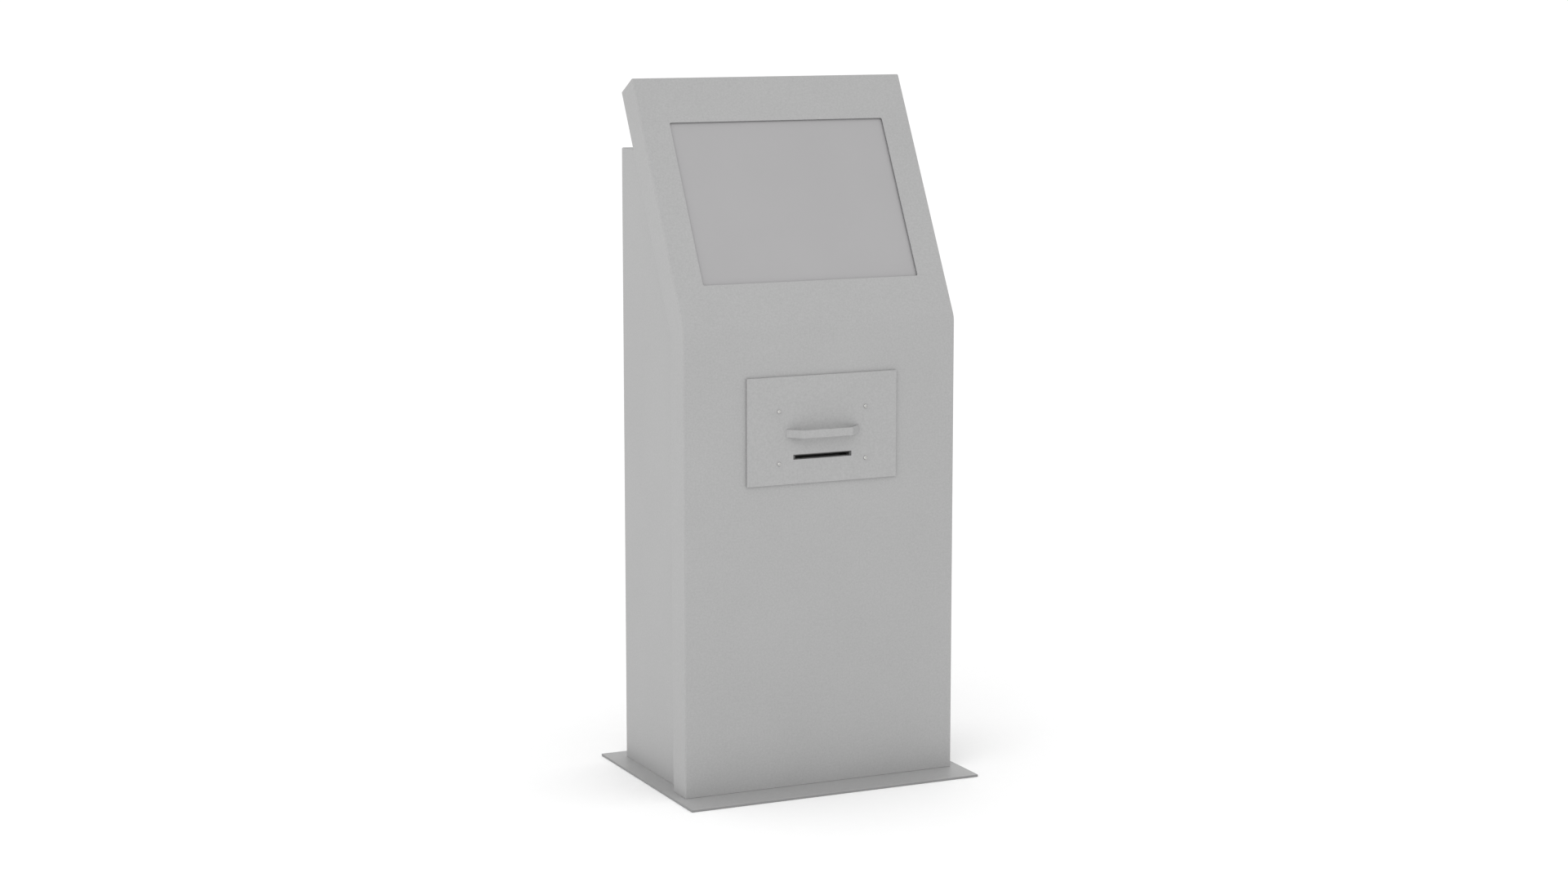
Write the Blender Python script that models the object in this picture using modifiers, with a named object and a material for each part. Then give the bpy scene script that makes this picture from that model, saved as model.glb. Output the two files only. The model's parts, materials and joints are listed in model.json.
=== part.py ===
"""A floor-standing cash machine: a sheet-steel body, a wider bent front with an inclined screen,
a pull-out cash module and a hinged rear door. Metres, +Z up, front towards -Y, standing on z = 0."""

import math

import bmesh
import bpy
from mathutils import Matrix, Vector

# Overall sizes
FRONT_WIDTH = 0.600
FRONT_RETURN = 0.064
BODY_WIDTH = 0.561
BODY_DEPTH = 0.3636
BODY_HEIGHT = 1.281
BEND_HEIGHT = 0.9425
HEAD_LENGTH = 0.5477
HEAD_SLOPE = math.radians(61.92)
BEND_RADIUS = 0.035
BASE_THICK = 0.005
BASE_SIDE_MARGIN = 0.021
BASE_FRONT_MARGIN = 0.0807
BASE_BACK_MARGIN = 0.0402
ANCHOR_HOLE = 0.014
ANCHOR_INSET = 0.055

# Sheet metal and clearances
SHEET = 0.002
EDGE_ROUND = 0.003
GAP = 0.0003
RUNNING = 0.00005
BODY_INSERT = 0.020
FRONT_LIP_GAP = 0.0004
TOP_LIP = 0.017

# Screen
WINDOW_WIDTH = 0.476
WINDOW_LENGTH = 0.354
WINDOW_FROM_BEND = 0.0936
WINDOW_CORNER = 0.004
GASKET_THICK = 0.0019
GLASS_THICK = 0.004
GLASS_OVERLAP = 0.009
DISPLAY_DEPTH = 0.030
DISPLAY_OVERLAP = 0.0125
BRACKET_FOOT = 0.036
ELECTRONICS_HALF = (0.110, 0.070)
ELECTRONICS_DEPTH = 0.014
AIR_SLOTS = 4
AIR_PITCH = 0.016
AIR_SLOT = 0.006
AIR_HALF = 0.150
AIR_START = 0.035

# Cash module
PLATE_WIDTH = 0.3318
PLATE_HEIGHT = 0.2178
PLATE_THICK = 0.0048
PLATE_RISE = 0.6232
PLATE_OVERLAP = 0.012
SLOT_WIDTH = 0.1292
SLOT_HEIGHT = 0.0101
SLOT_RISE = 0.0495
SCREW_SPACING = 0.192
SCREW_LOW = 0.043
SCREW_HIGH = 0.1483
SCREW_HEAD = 0.0082
SCREW_DOME = 0.0022
SCREW_DRIVE = 0.0024
SCREW_END = 0.002
HANDLE_WIDTH = 0.1632
HANDLE_FLAT = 0.1086
HANDLE_REACH = 0.027
HANDLE_HEIGHT = 0.0165
HANDLE_RISE = 0.0951
HANDLE_THICK = 0.003
TRAY_SHEET = 0.0015
TRAY_CLEARANCE = 0.005
TRAY_BACK_ROOM = 0.0636
SLIDE_WIDTH = 0.0127
SLIDE_HEIGHT = 0.045
SLIDE_END_ROOM = 0.010
SLIDE_THICK = 0.0014
SLIDE_PLAY = 0.001
SLIDE_OUTER = (0, 0.009)
SLIDE_MIDDLE = (0.0022, 0.0105)
SLIDE_INNER = 0.0045
SLIDE_FOOT = 0.030
SHELF_DROP = 0.030

# Note transport and cassette
ROLLER_RADIUS = 0.010
SHAFT_RADIUS = 0.003
ROLLER_NIP = 0.0004
ROLLER_SETBACK = 0.060
TRANSPORT_HALF = 0.070
GEAR_MODULE = 0.0015
FEED_TEETH = 28
PINION_TEETH = 14
GEAR_WIDTH = 0.006
MOTOR_RADIUS = 0.015
MOTOR_SHAFT = 0.002
CASSETTE_WIDTH = 0.160
CASSETTE_END_ROOM = 0.015
CASSETTE_HEIGHT = 0.160
CASSETTE_SETBACK = 0.125
CASSETTE_WALL = 0.002
LID_THICK = 0.0025
MOUTH_MARGIN = 0.004
MOUTH_HALF = 0.005
BAIL_RADIUS = 0.003
BAIL_LIFT = 0.0009
BAIL_LENGTH = 0.045
BAIL_BEND = 0.006
EAR_X = 0.050
EAR_THICK = 0.004
EAR_HALF = 0.007
EAR_RISE = 0.0065
PUSHER_THICK = 0.003
PUSHER_SETBACK = 0.012
PUSHER_DROP = 0.010
CHANNEL_HALF = 0.0605
CHANNEL_HEIGHT = 0.0066
THROAT_DEPTH = 0.022
THROAT_EAR = 0.0015
THROAT_LOW = 0.010
THROAT_TOP = 0.016
EAR_LOW = 0.004
FLAP_THICK = 0.0015
FLAP_PIVOT = 0.0015
FLAP_SETBACK = 0.004
FLAP_RISE = 0.012
FLAP_DROP = 0.006
SHAFT_END = 0.0015
ROLLER_SIDE = 0.008
MOTOR_LENGTH = 0.045
MOTOR_BORE = 0.030
PINION_SHAFT = 0.026
MESH_ANGLE = 45

# Equipment on the lower shelf
SHELF_RISE = 0.400
EQUIPMENT_BACK_ROOM = 0.0716
EQUIPMENT_SETBACK = 0.020
CONTROL_X = -0.210
CONTROL_WIDTH = 0.300
CONTROL_BACK_ROOM = 0.050
CONTROL_HEIGHT = 0.085
CONTROL_VENTS = 6
CONTROL_VENT_PITCH = 0.012
CONTROL_VENT_WIDTH = 0.005
CONTROL_VENT_SIDE = 0.040
CONTROL_VENT_MARGIN = 0.020
SUPPLY_X = 0.120
SUPPLY_WIDTH = 0.110
SUPPLY_BACK_ROOM = 0.090
SUPPLY_HEIGHT = 0.055

# Rear door, lock and fan
DOOR_FRAME = 0.0205
SILL_HEIGHT = 0.080
HEADER_HEIGHT = 0.041
DOOR_CLEARANCE = 0.0015
DOOR_RETURN = 0.020
HINGE_LENGTH = 0.060
HINGE_KNUCKLE = 0.0045
HINGE_PIN = 0.0025
HINGE_HEIGHTS = (0.250, 1.080)
LOCK_HEIGHT = 0.700
LOCK_INSET = 0.025
LOCK_RADIUS = 0.0095
PLUG_RADIUS = 0.007
FAN_SIZE = 0.120
FAN_DEPTH = 0.025
FAN_HEIGHT = 1.120
FAN_BORE = 0.055
FAN_HUB = 0.018
FAN_STRUT = 0.003
FAN_FLOOR = 0.0035
FAN_BLADES = 7
BLADE_THICK = 0.0016
BLADE_CHORD = 0.022
BLADE_CLEARANCE = 0.003
BLADE_TWIST = 42
GRILLE_SIZE = 0.136
GRILLE_SLOTS = 7
GRILLE_PITCH = 0.015
GRILLE_SLOT = 0.009
GRILLE_REACH = 0.050
GRILLE_CIRCLE = 0.060
INTAKE_SLOTS = 6
INTAKE_PITCH = 0.018
INTAKE_HALF = 0.090
INTAKE_SLOT = 0.006
INTAKE_RISE = 0.090
LEAF_THICK = 0.002
LEAF_WIDTH = 0.020
LEAF_MARGIN = 0.003
PIN_HEAD = 0.0015
CAM_THICK = 0.0025
CAM_LENGTH = 0.040
CAM_HALF = 0.008
CAM_SETBACK = 0.012
KEEPER_HALF = 0.020
KEEPER_GAP = 0.0012
LOCK_RIM = 0.003
KEY_SLOT = (0.0006, 0.004)

# Mains inlet
INLET_X = 0.170
INLET_RISE = 0.042
INLET_WIDTH = 0.060
INLET_HEIGHT = 0.028
INLET_DEPTH = 0.028
INLET_RIM = 0.003
INLET_RIM_THICK = 0.0025
SOCKET_X = INLET_X - 0.0125
SOCKET_HALF = (0.0125, 0.0085)
SOCKET_DEPTH = 0.014
ROCKER_X = INLET_X + 0.0175
ROCKER_RADIUS = 0.0095
ROCKER_HALF = 0.0072
ROCKER_TILT = 8
ROCKER_FACE = 0.0065
ROCKER_SETBACK = 0.003
TRUNNION_RADIUS = 0.0015
TRUNNION_LENGTH = 0.0018

# Places that the sizes above give
FRONT_Y = BASE_FRONT_MARGIN - (BASE_FRONT_MARGIN + BODY_DEPTH + BASE_BACK_MARGIN) / 2
BACK_Y = FRONT_Y + BODY_DEPTH
FLOOR_Z = BASE_THICK + GAP
TOP_Z = BASE_THICK + BODY_HEIGHT
BEND_Z = BASE_THICK + BEND_HEIGHT
FRONT_HALF = FRONT_WIDTH / 2
BODY_HALF = BODY_WIDTH / 2
INNER_HALF = BODY_HALF - SHEET
TRAY_DEPTH = BODY_DEPTH - TRAY_BACK_ROOM
SLIDE_LENGTH = TRAY_DEPTH - SLIDE_END_ROOM
CASSETTE_DEPTH = TRAY_DEPTH - CASSETTE_SETBACK - CASSETTE_END_ROOM
PLATE_LOW = BASE_THICK + PLATE_RISE
PLATE_BACK_Y = FRONT_Y - GAP
PLATE_FRONT_Y = PLATE_BACK_Y - PLATE_THICK
SLOT_Z = PLATE_LOW + SLOT_RISE + SLOT_HEIGHT / 2
BAY_HALF = PLATE_WIDTH / 2 - PLATE_OVERLAP
BAY_LOW = PLATE_LOW + PLATE_OVERLAP
BAY_TOP = PLATE_LOW + PLATE_HEIGHT - PLATE_OVERLAP
SLIDE_OUT_X = BAY_HALF - 5 * GAP
SLIDE_IN_X = SLIDE_OUT_X - SLIDE_WIDTH
TRAY_HALF = SLIDE_IN_X - GAP
TRAY_LOW = BAY_LOW + TRAY_CLEARANCE
TRAY_TOP = BAY_TOP - TRAY_CLEARANCE
TRAY_FLOOR = TRAY_LOW + TRAY_SHEET
SLIDE_Z = (TRAY_LOW + TRAY_TOP) / 2
SLIDE_Y = FRONT_Y + 3 * SHEET
SHELF_TOP = BAY_LOW - 2 * SHEET
ROLLER_Y = FRONT_Y + ROLLER_SETBACK
FEED_Z = SLOT_Z + ROLLER_RADIUS + ROLLER_NIP / 2
PINCH_Z = SLOT_Z - ROLLER_RADIUS - ROLLER_NIP / 2
GEAR_REACH = GEAR_MODULE * (FEED_TEETH + PINION_TEETH) / 2 + 2 * RUNNING
MOTOR_Y = ROLLER_Y + GEAR_REACH * math.cos(math.radians(MESH_ANGLE))
MOTOR_Z = FEED_Z + GEAR_REACH * math.sin(math.radians(MESH_ANGLE))
GEAR_X = TRANSPORT_HALF + SHEET + 0.0025 + GEAR_WIDTH / 2
DOOR_HALF = BODY_HALF - DOOR_FRAME - DOOR_CLEARANCE
DOOR_LOW = FLOOR_Z + SILL_HEIGHT + DOOR_CLEARANCE
DOOR_TOP = TOP_Z - HEADER_HEIGHT - DOOR_CLEARANCE
HINGE_X = -(DOOR_HALF + DOOR_CLEARANCE / 2)
HINGE_Y = BACK_Y + HINGE_KNUCKLE + 0.0008
LOCK_X = DOOR_HALF - LOCK_INSET
LEAF_NOTCH = HINGE_KNUCKLE + 0.001
CAM_Y = BACK_Y - DOOR_RETURN - CAM_SETBACK
KEEPER_Y = CAM_Y + CAM_THICK + 2 * GAP
INLET_Z = BASE_THICK + INLET_RISE
FLAP_Y = FRONT_Y + THROAT_DEPTH + FLAP_SETBACK
FLAP_Z = SLOT_Z + FLAP_RISE
SHELF_FRONT = FRONT_Y + BODY_INSERT + SHEET
SHELF_HALF = INNER_HALF - GAP
EQUIPMENT_TOP = BASE_THICK + SHELF_RISE
EQUIPMENT_BACK = BACK_Y - EQUIPMENT_BACK_ROOM
EQUIPMENT_DEPTH = EQUIPMENT_BACK - SHELF_FRONT
CASSETTE_Y = FRONT_Y + CASSETTE_SETBACK
CASSETTE_LOW = TRAY_FLOOR + GAP
CASSETTE_TOP = CASSETTE_LOW + CASSETTE_HEIGHT
LID_TOP = CASSETTE_TOP + GAP + LID_THICK
BAIL_Y = CASSETTE_Y + CASSETTE_DEPTH / 2 - 0.025
BAIL_Z = LID_TOP + BAIL_RADIUS + BAIL_LIFT
BAIL_HALF = EAR_X + EAR_THICK + BAIL_RADIUS + 0.003
PUSHER_Y = CASSETTE_Y + PUSHER_SETBACK

EXTRUDE_X = (math.radians(90), 0.0, math.radians(90))
EXTRUDE_Y = (math.radians(90), 0.0, 0.0)
ALONG_X = (0.0, math.radians(90), 0.0)
ALONG_Y = (math.radians(-90), 0.0, 0.0)
FLAT = (0.0, 0.0, 0.0)

for old in list(bpy.data.objects):
    bpy.data.objects.remove(old, do_unlink=True)

parts = bpy.data.collections.new("cash_machine")
cutters = bpy.data.collections.new("cutters")
bpy.context.scene.collection.children.link(parts)
bpy.context.scene.collection.children.link(cutters)


def finish(name, colour, roughness, metallic):
    material = bpy.data.materials.new(name)
    material.use_nodes = True
    shader = material.node_tree.nodes["Principled BSDF"]
    shader.inputs["Base Color"].default_value = (*colour, 1.0)
    shader.inputs["Roughness"].default_value = roughness
    shader.inputs["Metallic"].default_value = metallic
    return material


CASING = finish("casing_grey", (0.44, 0.44, 0.44), 0.5, 0.0)
STEEL = finish("zinc_plated_steel", (0.55, 0.55, 0.56), 0.35, 1.0)
BRIGHT = finish("bright_steel", (0.60, 0.60, 0.60), 0.25, 1.0)
BLACK = finish("black_plastic", (0.03, 0.03, 0.03), 0.5, 0.0)
RUBBER = finish("black_rubber", (0.02, 0.02, 0.02), 0.8, 0.0)
GLASS = finish("screen_glass", (0.42, 0.42, 0.42), 0.2, 0.0)
BRASS = finish("brass", (0.65, 0.50, 0.22), 0.3, 1.0)
GREY_PLASTIC = finish("grey_plastic", (0.30, 0.31, 0.33), 0.5, 0.0)


def empty(name, location, rotation=FLAT):
    guide = bpy.data.objects.new(name, None)
    guide.location = location
    guide.rotation_euler = rotation
    guide.empty_display_size = 0.02
    parts.objects.link(guide)
    return guide


def add_object(name, mesh, location=(0, 0, 0), rotation=FLAT):
    piece = bpy.data.objects.new(name, mesh)
    piece.location = location
    piece.rotation_euler = rotation
    parts.objects.link(piece)
    return piece


def mesh_from(name, build):
    """A mesh made by a function that fills a new bmesh."""
    mesh = bpy.data.meshes.new(name)
    work = bmesh.new()
    build(work)
    bmesh.ops.recalc_face_normals(work, faces=work.faces)
    work.to_mesh(mesh)
    work.free()
    return mesh


def box(name, low, high, rotation=FLAT, location=None):
    """A box between two corners; its object's origin is its centre."""
    size = [b - a for a, b in zip(low, high)]
    centre = [(a + b) / 2 for a, b in zip(low, high)]

    def build(work):
        bmesh.ops.create_cube(work, size=1.0)
        bmesh.ops.scale(work, vec=size, verts=work.verts)

    return add_object(name, mesh_from(name, build), location or centre, rotation)


def cylinder(name, radius, length, centre, rotation=FLAT, sides=32, end_radius=None):
    """A cylinder or cone along its own Z, centred on its object's origin, with round sides smooth."""

    def build(work):
        bmesh.ops.create_cone(
            work,
            cap_ends=True,
            segments=sides,
            radius1=radius,
            radius2=radius if end_radius is None else end_radius,
            depth=length,
        )

    mesh = mesh_from(name, build)
    mesh.shade_smooth()
    mesh.set_sharp_from_angle(angle=math.radians(40))
    return add_object(name, mesh, centre, rotation)


def outline(name, loops, thickness, centre, rotation=FLAT):
    """A flat outline extruded to a thickness about its plane, made a mesh with welded caps."""
    curve = bpy.data.curves.new(name, "CURVE")
    curve.dimensions = "2D"
    curve.fill_mode = "BOTH"
    curve.extrude = thickness / 2
    for loop in loops:
        spline = curve.splines.new("POLY")
        spline.points.add(len(loop) - 1)
        for point, (u, v) in zip(spline.points, loop):
            point.co = (u, v, 0.0, 1.0)
        spline.use_cyclic_u = True
    return curve_to_mesh(name, curve, centre, rotation)


def tube(name, points, radius, centre=(0, 0, 0), rotation=FLAT):
    """A round bar along points, with filled and welded caps."""
    curve = bpy.data.curves.new(name, "CURVE")
    curve.dimensions = "3D"
    curve.bevel_depth = radius
    curve.bevel_resolution = 2
    curve.use_fill_caps = True
    spline = curve.splines.new("POLY")
    spline.points.add(len(points) - 1)
    for point, place in zip(spline.points, points):
        point.co = (*place, 1.0)
    return curve_to_mesh(name, curve, centre, rotation)


def curve_to_mesh(name, curve, centre, rotation):
    source = bpy.data.objects.new(name + "_curve", curve)
    source.location = centre
    source.rotation_euler = rotation
    parts.objects.link(source)
    bpy.context.view_layer.update()
    evaluated = source.evaluated_get(bpy.context.evaluated_depsgraph_get())
    mesh = bpy.data.meshes.new_from_object(evaluated)
    mesh.name = name
    work = bmesh.new()
    work.from_mesh(mesh)
    bmesh.ops.remove_doubles(work, verts=work.verts, dist=0.000001)
    bmesh.ops.recalc_face_normals(work, faces=work.faces)
    work.to_mesh(mesh)
    work.free()
    piece = bpy.data.objects.new(name, mesh)
    parts.objects.link(piece)
    piece.matrix_world = source.matrix_world
    bpy.data.objects.remove(source, do_unlink=True)
    return piece


def turned(name, profile, centre, rotation=FLAT, steps=32):
    """A solid of revolution about its own Z, from (radius, height) pairs that run top to bottom."""
    mesh = bpy.data.meshes.new(name)
    mesh.from_pydata([(r, 0.0, z) for r, z in profile], [(i, i + 1) for i in range(len(profile) - 1)], [])
    piece = add_object(name, mesh, centre, rotation)
    screw = piece.modifiers.new("Screw", "SCREW")
    screw.steps = steps
    screw.render_steps = steps
    screw.use_merge_vertices = True
    screw.merge_threshold = 0.00001
    screw.use_smooth_shade = True
    return piece


def rounded(piece, width, segments=2, angle=30):
    bevel = piece.modifiers.new("Bevel", "BEVEL")
    bevel.width = width
    bevel.segments = segments
    bevel.limit_method = "ANGLE"
    bevel.angle_limit = math.radians(angle)
    return piece


def boolean(piece, other, operation="DIFFERENCE"):
    parts.objects.unlink(other)
    cutters.objects.link(other)
    other.hide_render = True
    other.display_type = "WIRE"
    step = piece.modifiers.new(operation.title(), "BOOLEAN")
    step.operation = operation
    step.object = other
    return piece


def cut(piece, *others):
    for other in others:
        boolean(piece, other)
    return piece


def join(piece, *others):
    for other in others:
        boolean(piece, other, "UNION")
    return piece


def paint(piece, material):
    piece.data.materials.clear()
    piece.data.materials.append(material)
    return piece


def carry(guide, *pieces):
    """Hangs pieces on an empty without moving them."""
    bpy.context.view_layer.update()
    for piece in pieces:
        place = piece.matrix_world.copy()
        piece.parent = guide
        piece.matrix_parent_inverse = guide.matrix_world.inverted()
        piece.matrix_world = place
    return pieces


def arc(centre, radius, start, end, steps):
    """Points on an arc in degrees, both ends included."""
    turns = [math.radians(start + (end - start) * i / steps) for i in range(steps + 1)]
    return [(centre[0] + radius * math.cos(t), centre[1] + radius * math.sin(t)) for t in turns]


# Base, front and body

UP_SLOPE = Vector((math.cos(HEAD_SLOPE), math.sin(HEAD_SLOPE)))
INTO_HEAD = Vector((math.sin(HEAD_SLOPE), -math.cos(HEAD_SLOPE)))


def front_path(depth, low, along):
    """The front's side profile at a depth behind its face: up from low, round the bend, to a length along
    the slope."""
    corner_drop = math.tan((math.radians(90) - HEAD_SLOPE) / 2)
    top = Vector((FRONT_Y, BEND_Z)) + UP_SLOPE * along + INTO_HEAD * depth
    if depth < BEND_RADIUS:
        centre = (FRONT_Y + BEND_RADIUS, BEND_Z - BEND_RADIUS * corner_drop)
        turn = arc(centre, BEND_RADIUS - depth, 180, 90 + math.degrees(HEAD_SLOPE), 6)
    else:
        turn = [(FRONT_Y + depth, BEND_Z - depth * corner_drop)]
    return [(FRONT_Y + depth, low), *turn, tuple(top)]


def front_band(name, near, far, low, along, half):
    """A solid that follows the front between two depths, out to a half width each side."""
    loop = front_path(near, low, along) + front_path(far, low, along)[::-1]
    return outline(name, [loop], 2 * half, (0, 0, 0), EXTRUDE_X)


def slope_y(z, depth):
    """Y on the slope at a height and a depth behind its face."""
    along = (z - BEND_Z + depth * math.cos(HEAD_SLOPE)) / math.sin(HEAD_SLOPE)
    return FRONT_Y + along * math.cos(HEAD_SLOPE) + depth * math.sin(HEAD_SLOPE)


head_frame = empty("head_frame", (0, FRONT_Y, BEND_Z), (HEAD_SLOPE, 0, 0))


def head_box(name, half, along, depth):
    """A box in the head's own frame: half width, (low, high) along the slope, (near, far) behind its face."""
    width = half if isinstance(half, tuple) else (-half, half)
    low = (width[0], along[0], -depth[1])
    high = (width[1], along[1], -depth[0])
    piece = box(name, low, high)
    piece.parent = head_frame
    return piece


def make_base_plate():
    half = FRONT_HALF + BASE_SIDE_MARGIN
    low = (-half, FRONT_Y - BASE_FRONT_MARGIN, 0)
    high = (half, BACK_Y + BASE_BACK_MARGIN, BASE_THICK)
    plate = rounded(box("base_plate", low, high), 0.0006, 1)
    for side in (-1, 1):
        for y in (FRONT_Y + 2 * ANCHOR_INSET, BACK_Y - ANCHOR_INSET):
            centre = (side * (INNER_HALF - ANCHOR_INSET), y, BASE_THICK / 2)
            cut(plate, cylinder("anchor_cut", ANCHOR_HOLE / 2, 2 * BASE_THICK, centre, sides=24))
    return paint(plate, CASING)


def make_front():
    low = FLOOR_Z
    front = front_band("front_fascia", 0, FRONT_RETURN, low, HEAD_LENGTH, FRONT_HALF)
    rounded(front, EDGE_ROUND, 2)
    inside = front_band(
        "front_hollow", SHEET, FRONT_RETURN - SHEET, low + SHEET, HEAD_LENGTH - SHEET, FRONT_HALF - SHEET
    )
    back = front_band(
        "front_back_cut",
        FRONT_RETURN - 2 * SHEET,
        FRONT_RETURN + SHEET,
        low - SHEET,
        HEAD_LENGTH - TOP_LIP,
        BODY_HALF + FRONT_LIP_GAP,
    )
    window = head_box(
        "window_cut",
        WINDOW_WIDTH / 2,
        (WINDOW_FROM_BEND, WINDOW_FROM_BEND + WINDOW_LENGTH),
        (-SHEET, 2.5 * SHEET),
    )
    corners = window.modifiers.new("Corners", "BEVEL")
    corners.width = WINDOW_CORNER
    corners.segments = 4
    bay = box("bay_cut", (-BAY_HALF, FRONT_Y - SHEET, BAY_LOW), (BAY_HALF, FRONT_Y + 2 * SHEET, BAY_TOP))
    half = BODY_HALF + FRONT_LIP_GAP
    foot = box(
        "front_foot_cut",
        (-half, FRONT_Y + BODY_INSERT - SHEET, low - SHEET),
        (half, FRONT_Y + FRONT_RETURN + SHEET, low + 2 * SHEET),
    )
    return paint(cut(front, inside, back, window, bay, foot), CASING)


def make_body():
    """One wrapped sheet: both sides and the top, with the door's frame at the back and feet flanges."""
    low = FLOOR_Z
    near = front_path(BODY_INSERT, low, 0)[:-1]
    loop = [*near, (slope_y(TOP_Z, BODY_INSERT), TOP_Z), (BACK_Y, TOP_Z), (BACK_Y, low)]
    shell = outline("body_shell", [loop], BODY_WIDTH, (0, 0, 0), EXTRUDE_X)
    rounded(shell, EDGE_ROUND, 2)
    ahead = BODY_INSERT - 5 * SHEET
    near = front_path(ahead, low + SHEET, 0)[:-1]
    top = TOP_Z - SHEET
    loop = [*near, (slope_y(top, ahead), top), (BACK_Y - SHEET, top), (BACK_Y - SHEET, low + SHEET)]
    hollow = outline("body_hollow", [loop], 2 * INNER_HALF, (0, 0, 0), EXTRUDE_X)
    flange = DOOR_FRAME + DOOR_CLEARANCE
    feet = box(
        "body_feet_cut",
        (-BODY_HALF + flange, FRONT_Y, low - SHEET),
        (BODY_HALF - flange, BACK_Y - flange, low + 2 * SHEET),
    )
    half = BODY_HALF - DOOR_FRAME
    doorway = box(
        "doorway_cut",
        (-half, BACK_Y - 2 * SHEET, low + SILL_HEIGHT),
        (half, BACK_Y + SHEET, TOP_Z - HEADER_HEIGHT),
    )
    head_room = head_box(
        "head_room_cut",
        INNER_HALF - SHEET / 2,
        (WINDOW_FROM_BEND, HEAD_LENGTH),
        (0, FRONT_RETURN - 5 * SHEET),
    )
    return paint(cut(shell, hollow, feet, doorway, inlet_cut(), head_room), CASING)


def inlet_cut():
    half = INLET_WIDTH / 2
    return box(
        "inlet_cut",
        (INLET_X - half, BACK_Y - 2 * SHEET, INLET_Z - INLET_HEIGHT / 2),
        (INLET_X + half, BACK_Y + SHEET, INLET_Z + INLET_HEIGHT / 2),
    )


def make_head_back():
    """The sheet behind the head's lips, above the body's top, with a field of air slots."""
    far = FRONT_RETURN - SHEET - GAP
    thick = TRAY_SHEET
    low = (TOP_Z + GAP - BEND_Z + far * math.cos(HEAD_SLOPE)) / math.sin(HEAD_SLOPE)
    half = FRONT_HALF - SHEET - GAP
    cover = head_box("head_back_cover", half, (low, HEAD_LENGTH - SHEET - GAP), (far - thick, far))
    for row in range(AIR_SLOTS):
        start = low + AIR_START + row * AIR_PITCH
        reach = (start, start + AIR_SLOT)
        cut(cover, head_box("air_cut", AIR_HALF, reach, (far - 2 * thick, far + thick)))
    return paint(cover, CASING)


def make_screen():
    low = WINDOW_FROM_BEND - GLASS_OVERLAP
    high = WINDOW_FROM_BEND + WINDOW_LENGTH + GLASS_OVERLAP
    half = WINDOW_WIDTH / 2 + GLASS_OVERLAP
    near = SHEET + GAP
    gasket = head_box("screen_gasket", half, (low, high), (near, near + GASKET_THICK))
    lip = SHEET / 2
    hole = head_box(
        "gasket_cut",
        WINDOW_WIDTH / 2 + lip,
        (WINDOW_FROM_BEND - lip, WINDOW_FROM_BEND + WINDOW_LENGTH + lip),
        (0, 3 * SHEET),
    )
    paint(cut(gasket, hole), RUBBER)
    near += GASKET_THICK + GAP
    glass = head_box("touch_glass", half, (low, high), (near, near + GLASS_THICK))
    paint(rounded(glass, 0.0005, 1), GLASS)
    near += GLASS_THICK + GAP
    half = WINDOW_WIDTH / 2 + DISPLAY_OVERLAP
    low = WINDOW_FROM_BEND - DISPLAY_OVERLAP
    high = WINDOW_FROM_BEND + WINDOW_LENGTH + DISPLAY_OVERLAP
    far = near + DISPLAY_DEPTH
    display = rounded(head_box("display_unit", half, (low, high), (near, far)), 0.0015, 1)
    middle = (low + high) / 2
    wide, tall = ELECTRONICS_HALF
    reach = (middle - tall, middle + tall)
    electronics = head_box("display_electronics", wide, reach, (far - 0.005, far + ELECTRONICS_DEPTH))
    paint(join(display, electronics), STEEL)
    for name, side in (("display_bracket_left", -1), ("display_bracket_right", 1)):
        inner = half + GAP
        reach = sorted((side * inner, side * (inner + SHEET)))
        upright = head_box(name, tuple(reach), (low, high), (SHEET + GAP, far))
        reach = sorted((side * (inner + SHEET / 2), side * (inner + BRACKET_FOOT)))
        foot = head_box(name + "_foot", tuple(reach), (low, high), (SHEET + GAP, 2 * SHEET + GAP))
        paint(join(upright, foot), STEEL)


def shelf(name, top, drop, front, back, width):
    """A sheet shelf with its edges folded down, reaching from side to side of the body."""
    piece = box(name, (-width, front, top - drop), (width, back, top))
    hollow = box(
        name + "_cut",
        (-width + SHEET, front + SHEET, top - drop - SHEET),
        (width - SHEET, back - SHEET, top - SHEET),
    )
    return paint(cut(rounded(piece, 0.001, 1), hollow), STEEL)


def make_equipment():
    shelf("equipment_shelf", EQUIPMENT_TOP, SHELF_DROP, SHELF_FRONT, EQUIPMENT_BACK, SHELF_HALF)
    base = EQUIPMENT_TOP + GAP
    front = SHELF_FRONT + EQUIPMENT_SETBACK
    back = front + EQUIPMENT_DEPTH - CONTROL_BACK_ROOM
    high = (CONTROL_X + CONTROL_WIDTH, back, base + CONTROL_HEIGHT)
    control = rounded(box("control_unit", (CONTROL_X, front, base), high), 0.002, 1)
    for row in range(CONTROL_VENTS):
        x = CONTROL_X + CONTROL_VENT_SIDE + row * CONTROL_VENT_PITCH
        low = (x, back - 2 * SHEET, base + CONTROL_VENT_MARGIN)
        high = (x + CONTROL_VENT_WIDTH, back + SHEET, base + CONTROL_HEIGHT - CONTROL_VENT_MARGIN)
        cut(control, box("vent_cut", low, high))
    paint(control, GREY_PLASTIC)
    back = front + EQUIPMENT_DEPTH - SUPPLY_BACK_ROOM
    high = (SUPPLY_X + SUPPLY_WIDTH, back, base + SUPPLY_HEIGHT)
    supply = rounded(box("power_supply", (SUPPLY_X, front, base), high), 0.0015, 1)
    paint(supply, STEEL)


# Rear door with its hinges, lock, grille and fan

door_hinge = empty("rear_door_hinge", (HINGE_X, HINGE_Y, 0))
lock_axis = empty("lock_axis", (LOCK_X, BACK_Y, LOCK_HEIGHT))
fan_axis = empty("fan_axis", (0, BACK_Y, FAN_HEIGHT))


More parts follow.
